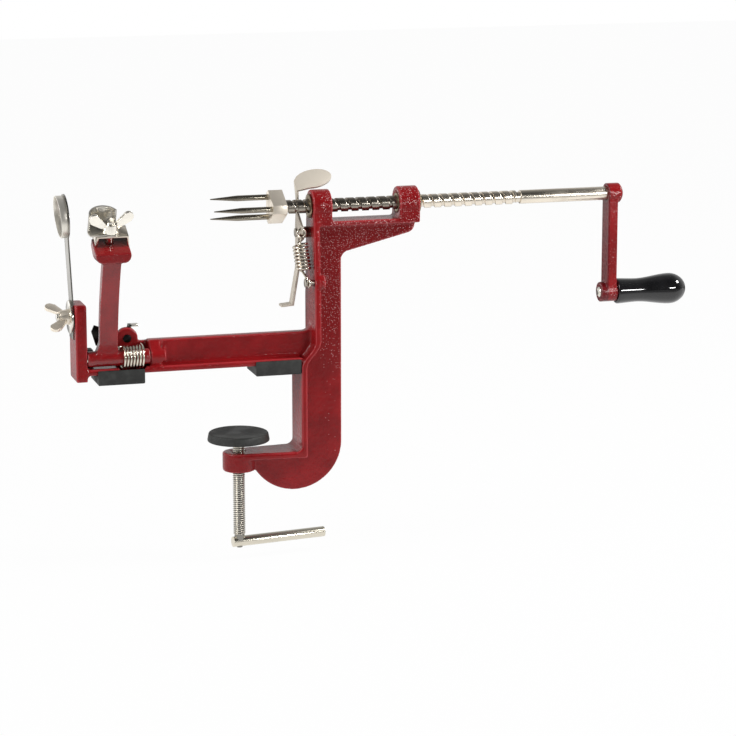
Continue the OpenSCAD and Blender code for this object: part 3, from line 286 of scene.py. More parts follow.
def leave_edit():
    bpy.ops.object.mode_set(mode="OBJECT")


def named(name):
    """The object that an operator has just added, under a name of its own"""
    piece = bpy.context.object
    piece.name = name
    piece.data.name = name
    return piece


def modify(piece, kind, **values):
    pick(piece)
    bpy.ops.object.modifier_add(type=kind)
    modifier = piece.modifiers[-1]
    for key, value in values.items():
        setattr(modifier, key, value)
    bpy.ops.object.modifier_apply(modifier=modifier.name)


def smooth_by_angle(piece, degrees):
    pick(piece)
    bpy.ops.object.shade_smooth_by_angle(angle=math.radians(degrees))


def node_copy(node, name):
    mesh = CAD_NODES[node].data.copy()
    mesh.name = name
    piece = bpy.data.objects.new(name, mesh)
    bpy.context.scene.collection.objects.link(piece)
    mesh.materials.clear()
    edit_all(piece)
    bpy.ops.mesh.customdata_custom_splitnormals_clear()
    bpy.ops.mesh.remove_doubles(threshold=WELD)
    leave_edit()
    return piece


def cast_skin(node, name, grid, rounds):
    piece = node_copy(node, name)
    modify(piece, "REMESH", mode="VOXEL", voxel_size=grid, adaptivity=0.0)
    modify(piece, "SMOOTH", factor=0.5, iterations=rounds)
    pick(piece)
    bpy.ops.object.shade_smooth()
    mark_edges(piece.data)
    return piece


def mark_edges(mesh):
    """Store how far each point stands out from its neighbours: above zero on edges, below in corners"""
    bulge = [0.0] * len(mesh.vertices)
    count = [0] * len(mesh.vertices)
    for edge in mesh.edges:
        first = mesh.vertices[edge.vertices[0]]
        second = mesh.vertices[edge.vertices[1]]
        gap = first.co - second.co
        if gap.length < FINE_WELD:
            continue
        gap.normalize()
        bulge[first.index] += first.normal.dot(gap)
        bulge[second.index] -= second.normal.dot(gap)
        count[first.index] += 1
        count[second.index] += 1
    marks = mesh.attributes.new("edge", "FLOAT", "POINT")
    marks.data.foreach_set("value", [total / max(1, number) for total, number in zip(bulge, count)])


def eased_copy(node, name, width, segments, from_angle):
    flat = math.radians(0.5)
    piece = node_copy(node, name)
    edit_all(piece)
    bpy.ops.mesh.dissolve_limited(angle_limit=flat)
    leave_edit()
    modify(piece, "BEVEL", width=width, segments=segments, limit_method="ANGLE",
           angle_limit=math.radians(from_angle), use_clamp_overlap=True)
    smooth_by_angle(piece, SHARP_EDGE)
    return piece


def stand_for(piece, body, slot, material, *nodes):
    piece.data.materials.clear()
    piece.data.materials.append(material)
    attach(piece, body)
    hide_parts(*nodes)


def dress(node, name, body, slot, finish, width, segments=3, from_angle=35.0):
    """Stand a copy with eased edges in for a node"""
    piece = eased_copy(node, name, width, segments, from_angle)
    stand_for(piece, body, slot, FINISH[finish], node)


def finish_node(node, material):
    mesh = CAD_NODES[node].data
    mesh.materials.clear()
    mesh.materials.append(material)


def joined(first, *others):
    bpy.ops.object.select_all(action="DESELECT")
    for other in others:
        other.select_set(True)
    first.select_set(True)
    bpy.context.view_layer.objects.active = first
    bpy.ops.object.join()


def placed(piece, matrix):
    pick(piece)
    piece.matrix_world = matrix
    bpy.ops.object.transform_apply(location=True, rotation=True, scale=True)


def raised(piece, height):
    placed(piece, Matrix.Translation((0, 0, height)))


def select_rim(piece, test):
    edit_all(piece)
    bpy.ops.mesh.select_all(action="DESELECT")
    bpy.ops.mesh.select_mode(type="EDGE")
    leave_edit()
    for edge in piece.data.edges:
        ends = [piece.data.vertices[index].co for index in edge.vertices]
        edge.select = all(test(end) for end in ends)
    bpy.ops.object.mode_set(mode="EDIT")


def lathed_rod(name, radius, height, chamfer, sides=48):
    bpy.ops.object.select_all(action="DESELECT")
    bpy.ops.mesh.primitive_cylinder_add(
        vertices=sides, radius=radius, depth=height, location=(0, 0, height / 2))
    piece = named(name)
    pick(piece)
    bpy.ops.object.transform_apply(location=True, rotation=True, scale=True)
    select_rim(piece, lambda co: co.z < WELD or co.z > height - WELD)
    bpy.ops.mesh.bevel(offset=chamfer, segments=3, affect="EDGES")
    leave_edit()
    return piece


def wound(piece, pitch, turns, steps):
    modify(piece, "SCREW", axis="Z", angle=2 * math.pi, screw_offset=pitch, iterations=turns,
           steps=steps, render_steps=steps, use_merge_vertices=False)


def screw_ridge(name, radius, depth, pitch, start, end):
    """A thread's ridge round the z axis, sunk a little into the rod that carries it"""
    sink = 0.0001
    half_crest = 0.07 * pitch
    half_foot = 0.5 * pitch
    foot = radius - depth - sink
    section = ((foot, -half_foot), (radius, -half_crest), (radius, half_crest), (foot, half_foot))
    plane_order = (0, 1, 3, 2)
    bpy.ops.object.select_all(action="DESELECT")
    bpy.ops.mesh.primitive_plane_add(size=0.001)
    ridge = named(name)
    edit_all(ridge)
    bpy.ops.mesh.delete(type="ONLY_FACE")
    leave_edit()
    for index, (reach, rise) in zip(plane_order, section):
        ridge.data.vertices[index].co = (reach, 0.0, start + rise)
    wound(ridge, pitch, int((end - start) / pitch), THREAD_STEPS)
    edit_all(ridge)
    bpy.ops.mesh.remove_doubles(threshold=FINE_WELD)
    bpy.ops.mesh.fill_holes(sides=6)
    bpy.ops.mesh.normals_make_consistent(inside=False)
    leave_edit()
    return ridge


def wire_from(name, points, radius):
    curve = bpy.data.curves.new(name, "CURVE")
    curve.dimensions = "3D"
    curve.bevel_depth = radius
    curve.bevel_resolution = 3
    curve.use_fill_caps = True
    spline = curve.splines.new("POLY")
    spline.points.add(len(points) - 1)
    for point, place in zip(spline.points, points):
        point.co = (place[0], place[1], place[2], 1.0)
    wire = bpy.data.objects.new(name, curve)
    bpy.context.scene.collection.objects.link(wire)
    pick(wire)
    bpy.ops.object.convert(target="MESH")
    wire = bpy.context.object
    edit_all(wire)
    bpy.ops.mesh.remove_doubles(threshold=FINE_WELD)
    bpy.ops.mesh.normals_make_consistent(inside=False)
    leave_edit()
    smooth_by_angle(wire, SHARP_WIRE)
    return wire


# Node trees
def add_node(tree, kind, **values):
    node = tree.nodes.new(kind)
    for key, value in values.items():
        setattr(node, key, value)
    return node


def shader_group(name, inputs, outputs):
    group = bpy.data.node_groups.new(name, "ShaderNodeTree")
    for label, kind, default in inputs:
        socket = group.interface.new_socket(label, in_out="INPUT", socket_type=kind)
        if default is not None:
            socket.default_value = default
    for label in outputs:
        group.interface.new_socket(label, in_out="OUTPUT", socket_type="NodeSocketFloat")
    start = group.nodes.new("NodeGroupInput")
    end = group.nodes.new("NodeGroupOutput")
    return group, start, end


def noise_into(tree, vector, scale, detail, roughness):
    noise = add_node(tree, "ShaderNodeTexNoise")
    noise.inputs["Detail"].default_value = detail
    noise.inputs["Roughness"].default_value = roughness
    tree.links.new(vector, noise.inputs["Vector"])
    tree.links.new(scale, noise.inputs["Scale"])
    return noise.outputs["Fac"]


def math_into(tree, operation, *values):
    node = add_node(tree, "ShaderNodeMath", operation=operation)
    for socket, value in zip(node.inputs, values):
        if isinstance(value, float):
            socket.default_value = value
        else:
            tree.links.new(value, socket)
    return node.outputs[0]


def ranged(tree, value, span, result):
    """Carry a value smoothly from one span to another"""
    node = add_node(tree, "ShaderNodeMapRange", interpolation_type="SMOOTHSTEP")
    tree.links.new(value, node.inputs["Value"])
    for label, number in zip(("From Min", "From Max", "To Min", "To Max"), (*span, *result)):
        node.inputs[label].default_value = number
    return node.outputs["Result"]


def mixed_colour(tree, factor, first, second):
    node = add_node(tree, "ShaderNodeMix", data_type="RGBA")
    tree.links.new(factor, node.inputs["Factor"])
    for socket, tone in ((node.inputs[6], first), (node.inputs[7], second)):
        if hasattr(tone, "links"):
            tree.links.new(tone, socket)
        else:
            socket.default_value = tuple(tone)
    return node.outputs[2]


def axes_of(tree, vector):
    split = add_node(tree, "ShaderNodeSeparateXYZ")
    tree.links.new(vector, split.inputs["Vector"])
    return split.outputs


def build_grain_group():
    """Two sizes of grain: a height for bumps and a slow mask for tone"""
    group, start, end = shader_group(
        "surface_grain",
        (("Vector", "NodeSocketVector", None), ("Grain Scale", "NodeSocketFloat", 600.0),
         ("Tone Scale", "NodeSocketFloat", 30.0)),
        ("Height", "Tone"))
    vector = start.outputs["Vector"]
    fine_ratio = 2.7
    coarse_share = 0.7
    fine_share = 0.3
    tone_span = (0.32, 0.68)
    coarse = noise_into(group, vector, start.outputs["Grain Scale"], detail=2.0, roughness=0.5)
    fine_scale = math_into(group, "MULTIPLY", start.outputs["Grain Scale"], fine_ratio)
    fine = noise_into(group, vector, fine_scale, detail=2.0, roughness=0.6)
    part = math_into(group, "MULTIPLY", coarse, coarse_share)
    height = math_into(group, "MULTIPLY_ADD", fine, fine_share, part)
    tone = noise_into(group, vector, start.outputs["Tone Scale"], detail=3.0, roughness=0.6)
    group.links.new(height, end.inputs["Height"])
    group.links.new(ranged(group, tone, tone_span, RISING), end.inputs["Tone"])
    return group


def build_fleck_group():
    """Scattered round flecks: a mask whose chance falls as the bar rises"""
    group, start, end = shader_group(
        "enamel_flecks",
        (("Vector", "NodeSocketVector", None), ("Fleck Scale", "NodeSocketFloat", 300.0),
         ("Bar", "NodeSocketFloat", 0.5)),
        ("Fleck",))
    rim = (0.10, 0.44)
    strength_span = (0.25, 1.0)
    strengths = (0.15, 1.0)
    cells = add_node(group, "ShaderNodeTexVoronoi")
    group.links.new(start.outputs["Vector"], cells.inputs["Vector"])
    group.links.new(start.outputs["Fleck Scale"], cells.inputs["Scale"])
    spot = ranged(group, cells.outputs["Distance"], rim, FALLING)
    chance = add_node(group, "ShaderNodeSeparateColor")
    group.links.new(cells.outputs["Color"], chance.inputs["Color"])
    over = math_into(group, "GREATER_THAN", chance.outputs["Red"], start.outputs["Bar"])
    strength = ranged(group, chance.outputs["Green"], strength_span, strengths)
    shown = math_into(group, "MULTIPLY", over, strength)
    group.links.new(math_into(group, "MULTIPLY", spot, shown), end.inputs["Fleck"])
    return group


def build_smudge_group():
    """Handling marks: soft patches and thin scuffs that change the gloss"""
    group, start, end = shader_group(
        "handling_smudges",
        (("Vector", "NodeSocketVector", None), ("Patch Scale", "NodeSocketFloat", 60.0)),
        ("Smudge", "Scuff"))
    vector = start.outputs["Vector"]
    scuff_ratio = 9.0
    patch_span = (0.38, 0.72)
    scuff_span = (0.60, 0.74)
    patches = noise_into(group, vector, start.outputs["Patch Scale"], detail=4.0, roughness=0.65)
    group.links.new(ranged(group, patches, patch_span, RISING), end.inputs["Smudge"])
    scuff_scale = math_into(group, "MULTIPLY", start.outputs["Patch Scale"], scuff_ratio)
    scuffs = noise_into(group, vector, scuff_scale, detail=5.0, roughness=0.7)
    group.links.new(ranged(group, scuffs, scuff_span, RISING), end.inputs["Scuff"])
    return group


def placed_group(tree, group, vector, **values):
    node = add_node(tree, "ShaderNodeGroup", node_tree=group)
    tree.links.new(vector, node.inputs["Vector"])
    for label, number in values.items():
        node.inputs[label.replace("_", " ")].default_value = number
    return node


def started_material(name):
    material = bpy.data.materials.new(name)
    material.use_nodes = True
    tree = material.node_tree
    tree.nodes.clear()
    output = add_node(tree, "ShaderNodeOutputMaterial")
    shader = add_node(tree, "ShaderNodeBsdfPrincipled")
    tree.links.new(shader.outputs["BSDF"], output.inputs["Surface"])
    vector = add_node(tree, "ShaderNodeTexCoord").outputs["Object"]
    return material, tree, shader, vector


def bumped(tree, shader, height, strength, distance):
    bump = add_node(tree, "ShaderNodeBump")
    bump.inputs["Strength"].default_value = strength
    bump.inputs["Distance"].default_value = distance
    tree.links.new(height, bump.inputs["Height"])
    tree.links.new(bump.outputs["Normal"], shader.inputs["Normal"])


def stretched(tree, vector, scale):
    mapping = add_node(tree, "ShaderNodeMapping")
    mapping.inputs["Scale"].default_value = scale
    tree.links.new(vector, mapping.inputs["Vector"])
    return mapping.outputs["Vector"]


def in_metres(span):
    return tuple(value * MM for value in span)


def tinted(base, tint):
    """A colour times one share, or times a share for each channel"""
    shares = tint if isinstance(tint, tuple) else (tint,) * 3
    return tuple(min(1.0, channel * share) for channel, share in zip(base, shares)) + (1.0,)


def lifted(base, share, floor):
    """A worn or dusty tone of a dark colour"""
    return tuple(min(1.0, channel * share + floor) for channel in base[:3]) + (1.0,)


def red_enamel(colours, grain, smudges, flecks, name, rare_low, rare_high, gloss=0.27, edge_wear_and_sheen=1.0, bracket_shade=None,
               shaded_face=None):
    """Enamel over a cast skin: lighter on the edges, thinner there and with a painted highlight, painted
    shade in the corners, flecks with painted glints that crowd more the higher it lies, and where asked
    painted shade on the crank's inner face and on the arm's head under the bracket
    """
    standing_edge = (0.05, 0.20)
    hollow_corner = (-0.14, -0.02)
    fleck_rise = (-0.03, 0.06)
    bare_arm = (0.026, 0.036)
    arm_share = 0.9
    edge_share = -0.25
    hammered_span = (0.15, 0.95)
    hammered_share = 0.9
    shaded_face_share = 0.85
    bracket_shade_share = 0.92
    fleck_metal = 0.3
    fleck_height = 0.15
    grain_height = 0.6
    polish = (0.14, 0.24)
    material, tree, shader, vector = started_material(name)
    surface = placed_group(tree, grain, vector, Grain_Scale=420.0, Tone_Scale=45.0)
    marks = placed_group(tree, smudges, vector, Patch_Scale=40.0)
    edge = add_node(tree, "ShaderNodeAttribute", attribute_name="edge").outputs["Fac"]
    thin_and_sheen = ranged(tree, edge, standing_edge, (0.0, edge_wear_and_sheen))
    corner_shade = ranged(tree, edge, hollow_corner, FALLING)
    place = axes_of(tree, vector)
    rarity = ranged(tree, place["Z"], fleck_rise, (rare_low, rare_high))
    rarity = math_into(tree, "ADD", rarity, ranged(tree, place["X"], bare_arm, (arm_share, 0.0)))
    rarity = math_into(tree, "MULTIPLY_ADD", thin_and_sheen, edge_share, rarity)
    spots = placed_group(tree, flecks, vector, Fleck_Scale=880.0)
    tree.links.new(rarity, spots.inputs["Bar"])
    fleck = spots.outputs["Fleck"]
    tone = mixed_colour(tree, surface.outputs["Tone"], colours.enamel, colours.enamel_deep_and_shade)
    # Painted shade: corners of the casting are darkened towards the deep enamel
    tone = mixed_colour(tree, corner_shade, tone, colours.enamel_deep_and_shade)
    hammered = ranged(tree, rarity, hammered_span, (hammered_share, 0.0))
    tone = mixed_colour(tree, hammered, tone, colours.enamel_deep_and_shade)
    # Lighter on the edges: thinner enamel and a painted highlight
    tone = mixed_colour(tree, thin_and_sheen, tone, colours.enamel_thin_and_sheen)
    # Painted shade: the crank's inner face is darkened, standing in for the shadow on that side
    if shaded_face:
        face_shade = ranged(tree, place["X"], in_metres(shaded_face), (shaded_face_share, 0.0))
        tone = mixed_colour(tree, face_shade, tone, colours.crank_face_shade)
    # Painted glints: the flecks turn the enamel light pink
    tone = mixed_colour(tree, fleck, tone, colours.fleck)
    # Painted shade under the peeler bracket: darker towards the top of the arm's head
    if bracket_shade:
        under_bracket_shade = ranged(tree, place["Z"], in_metres(bracket_shade), (0.0, bracket_shade_share))
        tone = mixed_colour(tree, under_bracket_shade, tone, colours.bracket_shade)
    tree.links.new(tone, shader.inputs["Base Color"])
    tree.links.new(math_into(tree, "MULTIPLY", fleck, fleck_metal), shader.inputs["Metallic"])
    rough = ranged(tree, marks.outputs["Smudge"], RISING, polish)
    tree.links.new(rough, shader.inputs["Roughness"])
    shader.inputs["Specular IOR Level"].default_value = gloss
    proud_fleck = math_into(tree, "MULTIPLY", fleck, fleck_height)
    height = math_into(tree, "MULTIPLY_ADD", surface.outputs["Height"], grain_height, proud_fleck)
    bumped(tree, shader, height, strength=0.65, distance=0.001)
    return material


def plated_metal(colours, grain, smudges, name, base, rough, tint=1.0, along=EVEN, bump=0.08, dull=0.82,
                 roots=None, zone=None, metallic=1.0):
    """Metal with handling marks, and where asked with painted shade, partly grime, in its roots, and darker
    along a stretch of it
    """
    scuff_share = 0.35
    worn_span = (0.0, 1.2)
    metal = tinted(getattr(colours, base), tint)
    material, tree, shader, vector = started_material(name)
    marks = placed_group(tree, smudges, vector, Patch_Scale=70.0)
    lines = placed_group(tree, grain, stretched(tree, vector, along), Grain_Scale=900.0, Tone_Scale=120.0)
    tone = mixed_colour(tree, marks.outputs["Smudge"], metal, tinted(metal, dull))
    if roots:
        place = axes_of(tree, vector)
        first, second = (math_into(tree, "SUBTRACT", place[axis], centre * MM)
                         for axis, centre in zip(roots["axes"], roots["centre"]))
        square = math_into(tree, "MULTIPLY_ADD", first, first, math_into(tree, "MULTIPLY", second, second))
        reach = math_into(tree, "SQRT", square)
        # Painted shade, partly grime: darker towards the roots
        root_shade = ranged(tree, reach, in_metres(roots["span"]), FALLING)
        tone = mixed_colour(tree, root_shade, tone, tinted(metal, roots["share"]))
    # Painted shade on the feed screw between the eyes; the latch is darker up to its tab
    if zone:
        dark_stretch = ranged(tree, axes_of(tree, vector)["X"], in_metres(zone["span"]), FALLING)
        tone = mixed_colour(tree, dark_stretch, tone, tinted(metal, zone["share"]))
    tree.links.new(tone, shader.inputs["Base Color"])
    shader.inputs["Metallic"].default_value = metallic
    worn = math_into(tree, "MULTIPLY_ADD", marks.outputs["Scuff"], scuff_share, marks.outputs["Smudge"])
    tree.links.new(ranged(tree, worn, worn_span, rough), shader.inputs["Roughness"])
    bumped(tree, shader, lines.outputs["Height"], strength=bump, distance=0.0002)
    return material


def matt_rubber(name, colours, grain, smudges):
    material, tree, shader, vector = started_material(name)
    surface = placed_group(tree, grain, vector, Grain_Scale=1500.0, Tone_Scale=90.0)
    marks = placed_group(tree, smudges, vector, Patch_Scale=110.0)
    matt = (0.52, 0.70)
    dusty = lifted(colours.rubber, share=1.9, floor=0.006)
    tone = mixed_colour(tree, marks.outputs["Smudge"], colours.rubber, dusty)
    tree.links.new(tone, shader.inputs["Base Color"])
    rough = ranged(tree, surface.outputs["Tone"], RISING, matt)
    tree.links.new(rough, shader.inputs["Roughness"])
    bumped(tree, shader, surface.outputs["Height"], strength=0.30, distance=0.0002)
    return material


def gloss_grip(name, colours, grain, smudges):
    material, tree, shader, vector = started_material(name)
    surface = placed_group(tree, grain, vector, Grain_Scale=420.0, Tone_Scale=60.0)
    marks = placed_group(tree, smudges, vector, Patch_Scale=80.0)
    polish = (0.07, 0.13)
    worn = lifted(colours.grip, share=1.6, floor=0.002)
    tone = mixed_colour(tree, surface.outputs["Tone"], colours.grip, worn)
    tree.links.new(tone, shader.inputs["Base Color"])
    rough = ranged(tree, marks.outputs["Smudge"], RISING, polish)
    tree.links.new(rough, shader.inputs["Roughness"])
    shader.inputs["Coat Weight"].default_value = 0.5
    shader.inputs["Coat Roughness"].default_value = 0.05
    bumped(tree, shader, surface.outputs["Height"], strength=0.05, distance=0.0002)
    return material


class PEELER_OT_finishes(bpy.types.Operator):
    """Make the enamel, plating, steel, bronze, rubber and grip finishes"""

    bl_idname = "peeler.finishes"
    bl_label = "Finishes"

    def execute(self, context):
        colours = context.scene.peeler_colours
        grain = build_grain_group()
        smudges = build_smudge_group()
        flecks = build_fleck_group()
        for key, values in ENAMELS.items():
            FINISH[key] = red_enamel(colours, grain, smudges, flecks, **values)
        for key, values in METALS.items():
            FINISH[key] = plated_metal(colours, grain, smudges, **values)
        FINISH["rubber"] = matt_rubber("pad_rubber", colours, grain, smudges)
        FINISH["grip"] = gloss_grip("handle_gloss", colours, grain, smudges)
        return {"FINISHED"}


class PEELER_OT_castings(bpy.types.Operator):
    """Give the red castings their rounded cast skins"""

    bl_idname = "peeler.castings"
    bl_label = "Castings"

    def execute(self, context):
        sizes = context.scene.peeler_sizes
        arm_grid = 0.0006
        crank_grid = 0.0005
        body = cast_skin("frame_casting", "cast_frame", sizes.casting_grid, sizes.casting_rounds)
        stand_for(body, "frame", "red_enamel", FINISH["enamel"], "frame_casting")
        arm = cast_skin("peeling_arm", "cast_peeling_arm", arm_grid, sizes.casting_rounds)
        stand_for(arm, "peeler", "red_enamel", FINISH["enamel_plain"], "peeling_arm")
        crank = cast_skin("crank_arm", "cast_crank", crank_grid, sizes.casting_rounds)
        stand_for(crank, "drive", "red_enamel", FINISH["enamel_crank"], "crank_arm")
        return {"FINISHED"}


def feed_section():
    """Section of one lead of the feed screw, from crest to crest: radius and distance along the axis"""
    left = [(SHAFT_R - depth, -along) for depth, along in GROOVE_HALF]
    right = [(SHAFT_R - depth, along) for depth, along in reversed(GROOVE_HALF)]
    return [(SHAFT_R, -FEED_LEAD / 2)] + left + right + [(SHAFT_R, FEED_LEAD / 2)]


def feed_thread(name):
    """The grooved length of the screw, wound up the z axis with the lever's tooth at zero"""
    section = feed_section()
    bpy.ops.object.select_all(action="DESELECT")
    bpy.ops.mesh.primitive_circle_add(vertices=len(section), radius=0.01)
    screw = named(name)
    turns_before = math.ceil((LEVER_MID - SCREW_START) / FEED_LEAD) + 1
    start = -turns_before * FEED_LEAD
    for vertex, (reach, along) in zip(screw.data.vertices, section):
        vertex.co = (reach * MM, 0.0, (start + along) * MM)
    closing_edge = {0, len(section) - 1}
    edit_all(screw)
    bpy.ops.mesh.select_all(action="DESELECT")
    leave_edit()
    for edge in screw.data.edges:
        edge.select = set(edge.vertices) == closing_edge
    bpy.ops.object.mode_set(mode="EDIT")
    bpy.ops.mesh.select_mode(type="EDGE")
    bpy.ops.mesh.delete(type="EDGE")
    leave_edit()
    turns = math.ceil((GROOVE_END - LEVER_MID - start) / FEED_LEAD) + 2
    wound(screw, FEED_LEAD * MM, turns, FEED_STEPS)
    edit_all(screw)
    bpy.ops.mesh.remove_doubles(threshold=WELD)
    bpy.ops.mesh.normals_make_consistent(inside=False)
    for height, normal in ((SCREW_START, -1.0), (GROOVE_END, 1.0)):
        bpy.ops.mesh.select_all(action="SELECT")
        bpy.ops.mesh.bisect(plane_co=(0, 0, (height - LEVER_MID) * MM), plane_no=(0, 0, normal),
                            use_fill=True, clear_outer=True)
    bpy.ops.mesh.select_all(action="SELECT")
    bpy.ops.mesh.normals_make_consistent(inside=False)
    leave_edit()
    return screw


class PEELER_OT_feed(bpy.types.Operator):
    """Cut the feed screw's rounded groove and dress the fork and its prongs"""

    bl_idname = "peeler.feed"
    bl_label = "Feed screw and fork"

    def execute(self, context):
        overlap = 0.5
        neck_height = (NECK_END - GROOVE_END + 2 * overlap) * MM
        shank_height = (SHANK_END - NECK_END) * MM
        screw = feed_thread("wound_feed_screw")
        neck = lathed_rod("feed_neck", NECK_R * MM, neck_height, chamfer=0.05 * MM)
        raised(neck, (GROOVE_END - LEVER_MID - overlap) * MM)
        shank = lathed_rod("feed_shank", SHAFT_R * MM, shank_height, chamfer=0.35 * MM)
        raised(shank, (NECK_END - LEVER_MID) * MM)
        joined(screw, neck, shank)
        along_x = Matrix(((0, 0, 1, LEVER_MID * MM), (1, 0, 0, 0), (0, 1, 0, SHAFT_Z * MM), (0, 0, 0, 1)))
        placed(screw, along_x)
        smooth_by_angle(screw, SHARP_EDGE)
        stand_for(screw, "drive", "nickel_steel", FINISH["turned"], "feed_screw")
        dress("fork_block", "fork_hub", "drive", "nickel_steel", "block", width=0.0005)
        for node in ("front_prong", "upper_prong", "lower_prong"):
            dress(node, "ground_" + node, "drive", "bright_steel", "prong", width=0.0003, segments=2)
        for node in ("left_bush", "right_bush"):
            dress(node, "turned_" + node, "bushes", "bearing_bronze", "bronze", width=0.0003, segments=2)
        return {"FINISHED"}


class PEELER_OT_handle(bpy.types.Operator):
    """Dress the turned grip and the pin it spins on"""

    bl_idname = "peeler.handle"
    bl_label = "Handle"

    def execute(self, context):
        dress("handle_grip", "turned_grip", "grip", "black_grip", "grip", width=0.0006)
        dress("handle_pin", "riveted_handle_pin", "drive", "bright_steel", "steel", width=0.0004)
        return {"FINISHED"}


class PEELER_OT_lever(bpy.types.Operator):
    """Ease the release lever's edges and dress its pivot and peg"""

    bl_idname = "peeler.lever"
    bl_label = "Release lever"

    def execute(self, context):
        edge = context.scene.peeler_sizes.sheet_edge * 1.2
        dress("release_lever", "pressed_lever", "lever", "nickel_steel", "satin", width=edge, segments=2,
              from_angle=40.0)
        for node in ("lever_pivot", "spring_peg"):
            dress(node, "turned_" + node, "frame", "bright_steel", "dark", width=0.0003, segments=2)
        return {"FINISHED"}


def lever_spring_route():
    """Hook round the peg, the coil and the eye in the lever's tab"""
    peg_x, peg_y, peg_z = 22.8, -10.5, 64.0
    hook_r = 2.8
    hook_out = -7.7
    hook_turns = [math.radians(130 + 8 * step) for step in range(24)]
    hook_end = ((peg_x, hook_out - 0.05, 63.2), (peg_x, hook_out, 64.6))
    lead_in = Vector((0.4, 0, -1.0))
    foot = Vector((20.2, -6.5, 72.0))
    head = Vector((18.05, -3.7, 91.2))
    coil_r = 4.7
    eighths = 64
    steps = 192
    taper = 4
    eye_neck = (20.4, -3.5, 94.2)
    eye_y, eye_z = -3.5, 98.0
    eye_r = 3.0
    eye_drift = 0.04
    eye_turns = [math.radians(-60 + 15 * step) for step in range(23)]
    points = []
    for turn in hook_turns:
        points.append((peg_x, peg_y + hook_r * math.cos(turn), peg_z + hook_r * math.sin(turn)))
    points.extend(hook_end)
    axis = (head - foot).normalized()
    side = axis.cross(Vector((0, 1, 0))).normalized()
    across = axis.cross(side)
    points.append(tuple((Vector((peg_x, hook_out, peg_z)) + foot + lead_in) / 2))
    for step in range(0, steps + 1):
        turn = math.radians(-45 * eighths * step / steps)
        count = eighths * step / steps
        reach = coil_r * min(1.0, (count + 1) / taper, (eighths + 1 - count) / taper)
        place = foot + (head - foot) * (step / steps)
        place += reach * (math.cos(turn) * side + math.sin(turn) * across)
        points.append(tuple(place))
    points.append(eye_neck)
    for step, turn in enumerate(eye_turns):
        points.append((LEVER_MID + eye_r * math.cos(turn), eye_y - eye_drift * step,
                       eye_z + eye_r * math.sin(turn)))
    return [in_metres(point) for point in points]


def arm_spring_route():
    """Leg on the arm, the coil round the pivot and the leg on the frame"""
    coil_start = -110.8
    coil_end = -95.45
    pitch = 2.15
    eighths = 56
    steps = 224
    top = PIVOT_Z + ARM_COIL_R
    arm_leg = (-113.0, -111.8, -111.1)
    frame_leg = (2.0, 4.5, 9.3)
    points = [(x, PIVOT_Y, top) for x in arm_leg]
    for step in range(1, steps + 1):
        count = eighths * step / steps
        turn = math.radians(45 * count)
        points.append((coil_start + count * pitch / 8,
                       PIVOT_Y + ARM_COIL_R * math.sin(turn), PIVOT_Z + ARM_COIL_R * math.cos(turn)))
    for reach in frame_leg:
        points.append((coil_end, PIVOT_Y + reach, top))
    return [in_metres(point) for point in points]


class PEELER_OT_springs(bpy.types.Operator):
    """Wind the lever's tension spring and the arm's torsion spring"""

    bl_idname = "peeler.springs"
    bl_label = "Springs"

    def execute(self, context):
        lever_wire_r = 0.95 * MM
        arm_wire_r = 0.8 * MM
        lever_spring = wire_from("wound_lever_spring", lever_spring_route(), lever_wire_r)
        lever_spring.data.materials.append(FINISH["wire"])
        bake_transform(lever_spring)
        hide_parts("lever_spring")
        arm_spring = wire_from("wound_arm_spring", arm_spring_route(), arm_wire_r)
        arm_spring.data.materials.append(FINISH["wire"])
        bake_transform(arm_spring)
        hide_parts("arm_spring")
        return {"FINISHED"}


def threaded_stud(name, pitch):
    depth = 0.45
    run_in = 0.6
    run_out = 0.9
    core = lathed_rod(name, (STUD_R - depth) * MM, STUD_LENGTH * MM, chamfer=0.4 * MM, sides=40)
    ridge = screw_ridge(name + "_ridge", STUD_R * MM, depth * MM, pitch, run_in * MM,
                        (STUD_LENGTH - run_out) * MM)
    joined(core, ridge)
    smooth_by_angle(core, SHARP_THREAD)
    return core


class PEELER_OT_slicer(bpy.types.Operator):
    """Dress the slicing blade, coring ring and their stud, washer and wing nut"""

    bl_idname = "peeler.slicer"
    bl_label = "Slicer"

    def execute(self, context):
        sizes = context.scene.peeler_sizes
        dress("slicing_blade", "ground_slicing_blade", "slicer", "blade_steel", "edge",
              width=0.00012, segments=2)
        dress("coring_ring", "rolled_coring_ring", "slicer", "blade_steel", "blade",
              width=0.00015, segments=2)
        dress("blade_washer", "stamped_blade_washer", "frame", "bright_steel", "steel",
              width=sizes.sheet_edge * 1.5, segments=2)
        dress("blade_wing_nut", "cast_blade_wing_nut", "frame", "nickel_steel", "block",
              width=sizes.nut_edge, from_angle=30.0)
        stud = threaded_stud("threaded_blade_stud", sizes.stud_pitch)
        along_x = Matrix(((0, 0, -1, STUD_X * MM), (0, 1, 0, 0), (1, 0, 0, STUD_Z * MM), (0, 0, 0, 1)))
        placed(stud, along_x)
        stand_for(stud, "frame", "bright_steel", FINISH["steel"], "blade_stud")
        return {"FINISHED"}


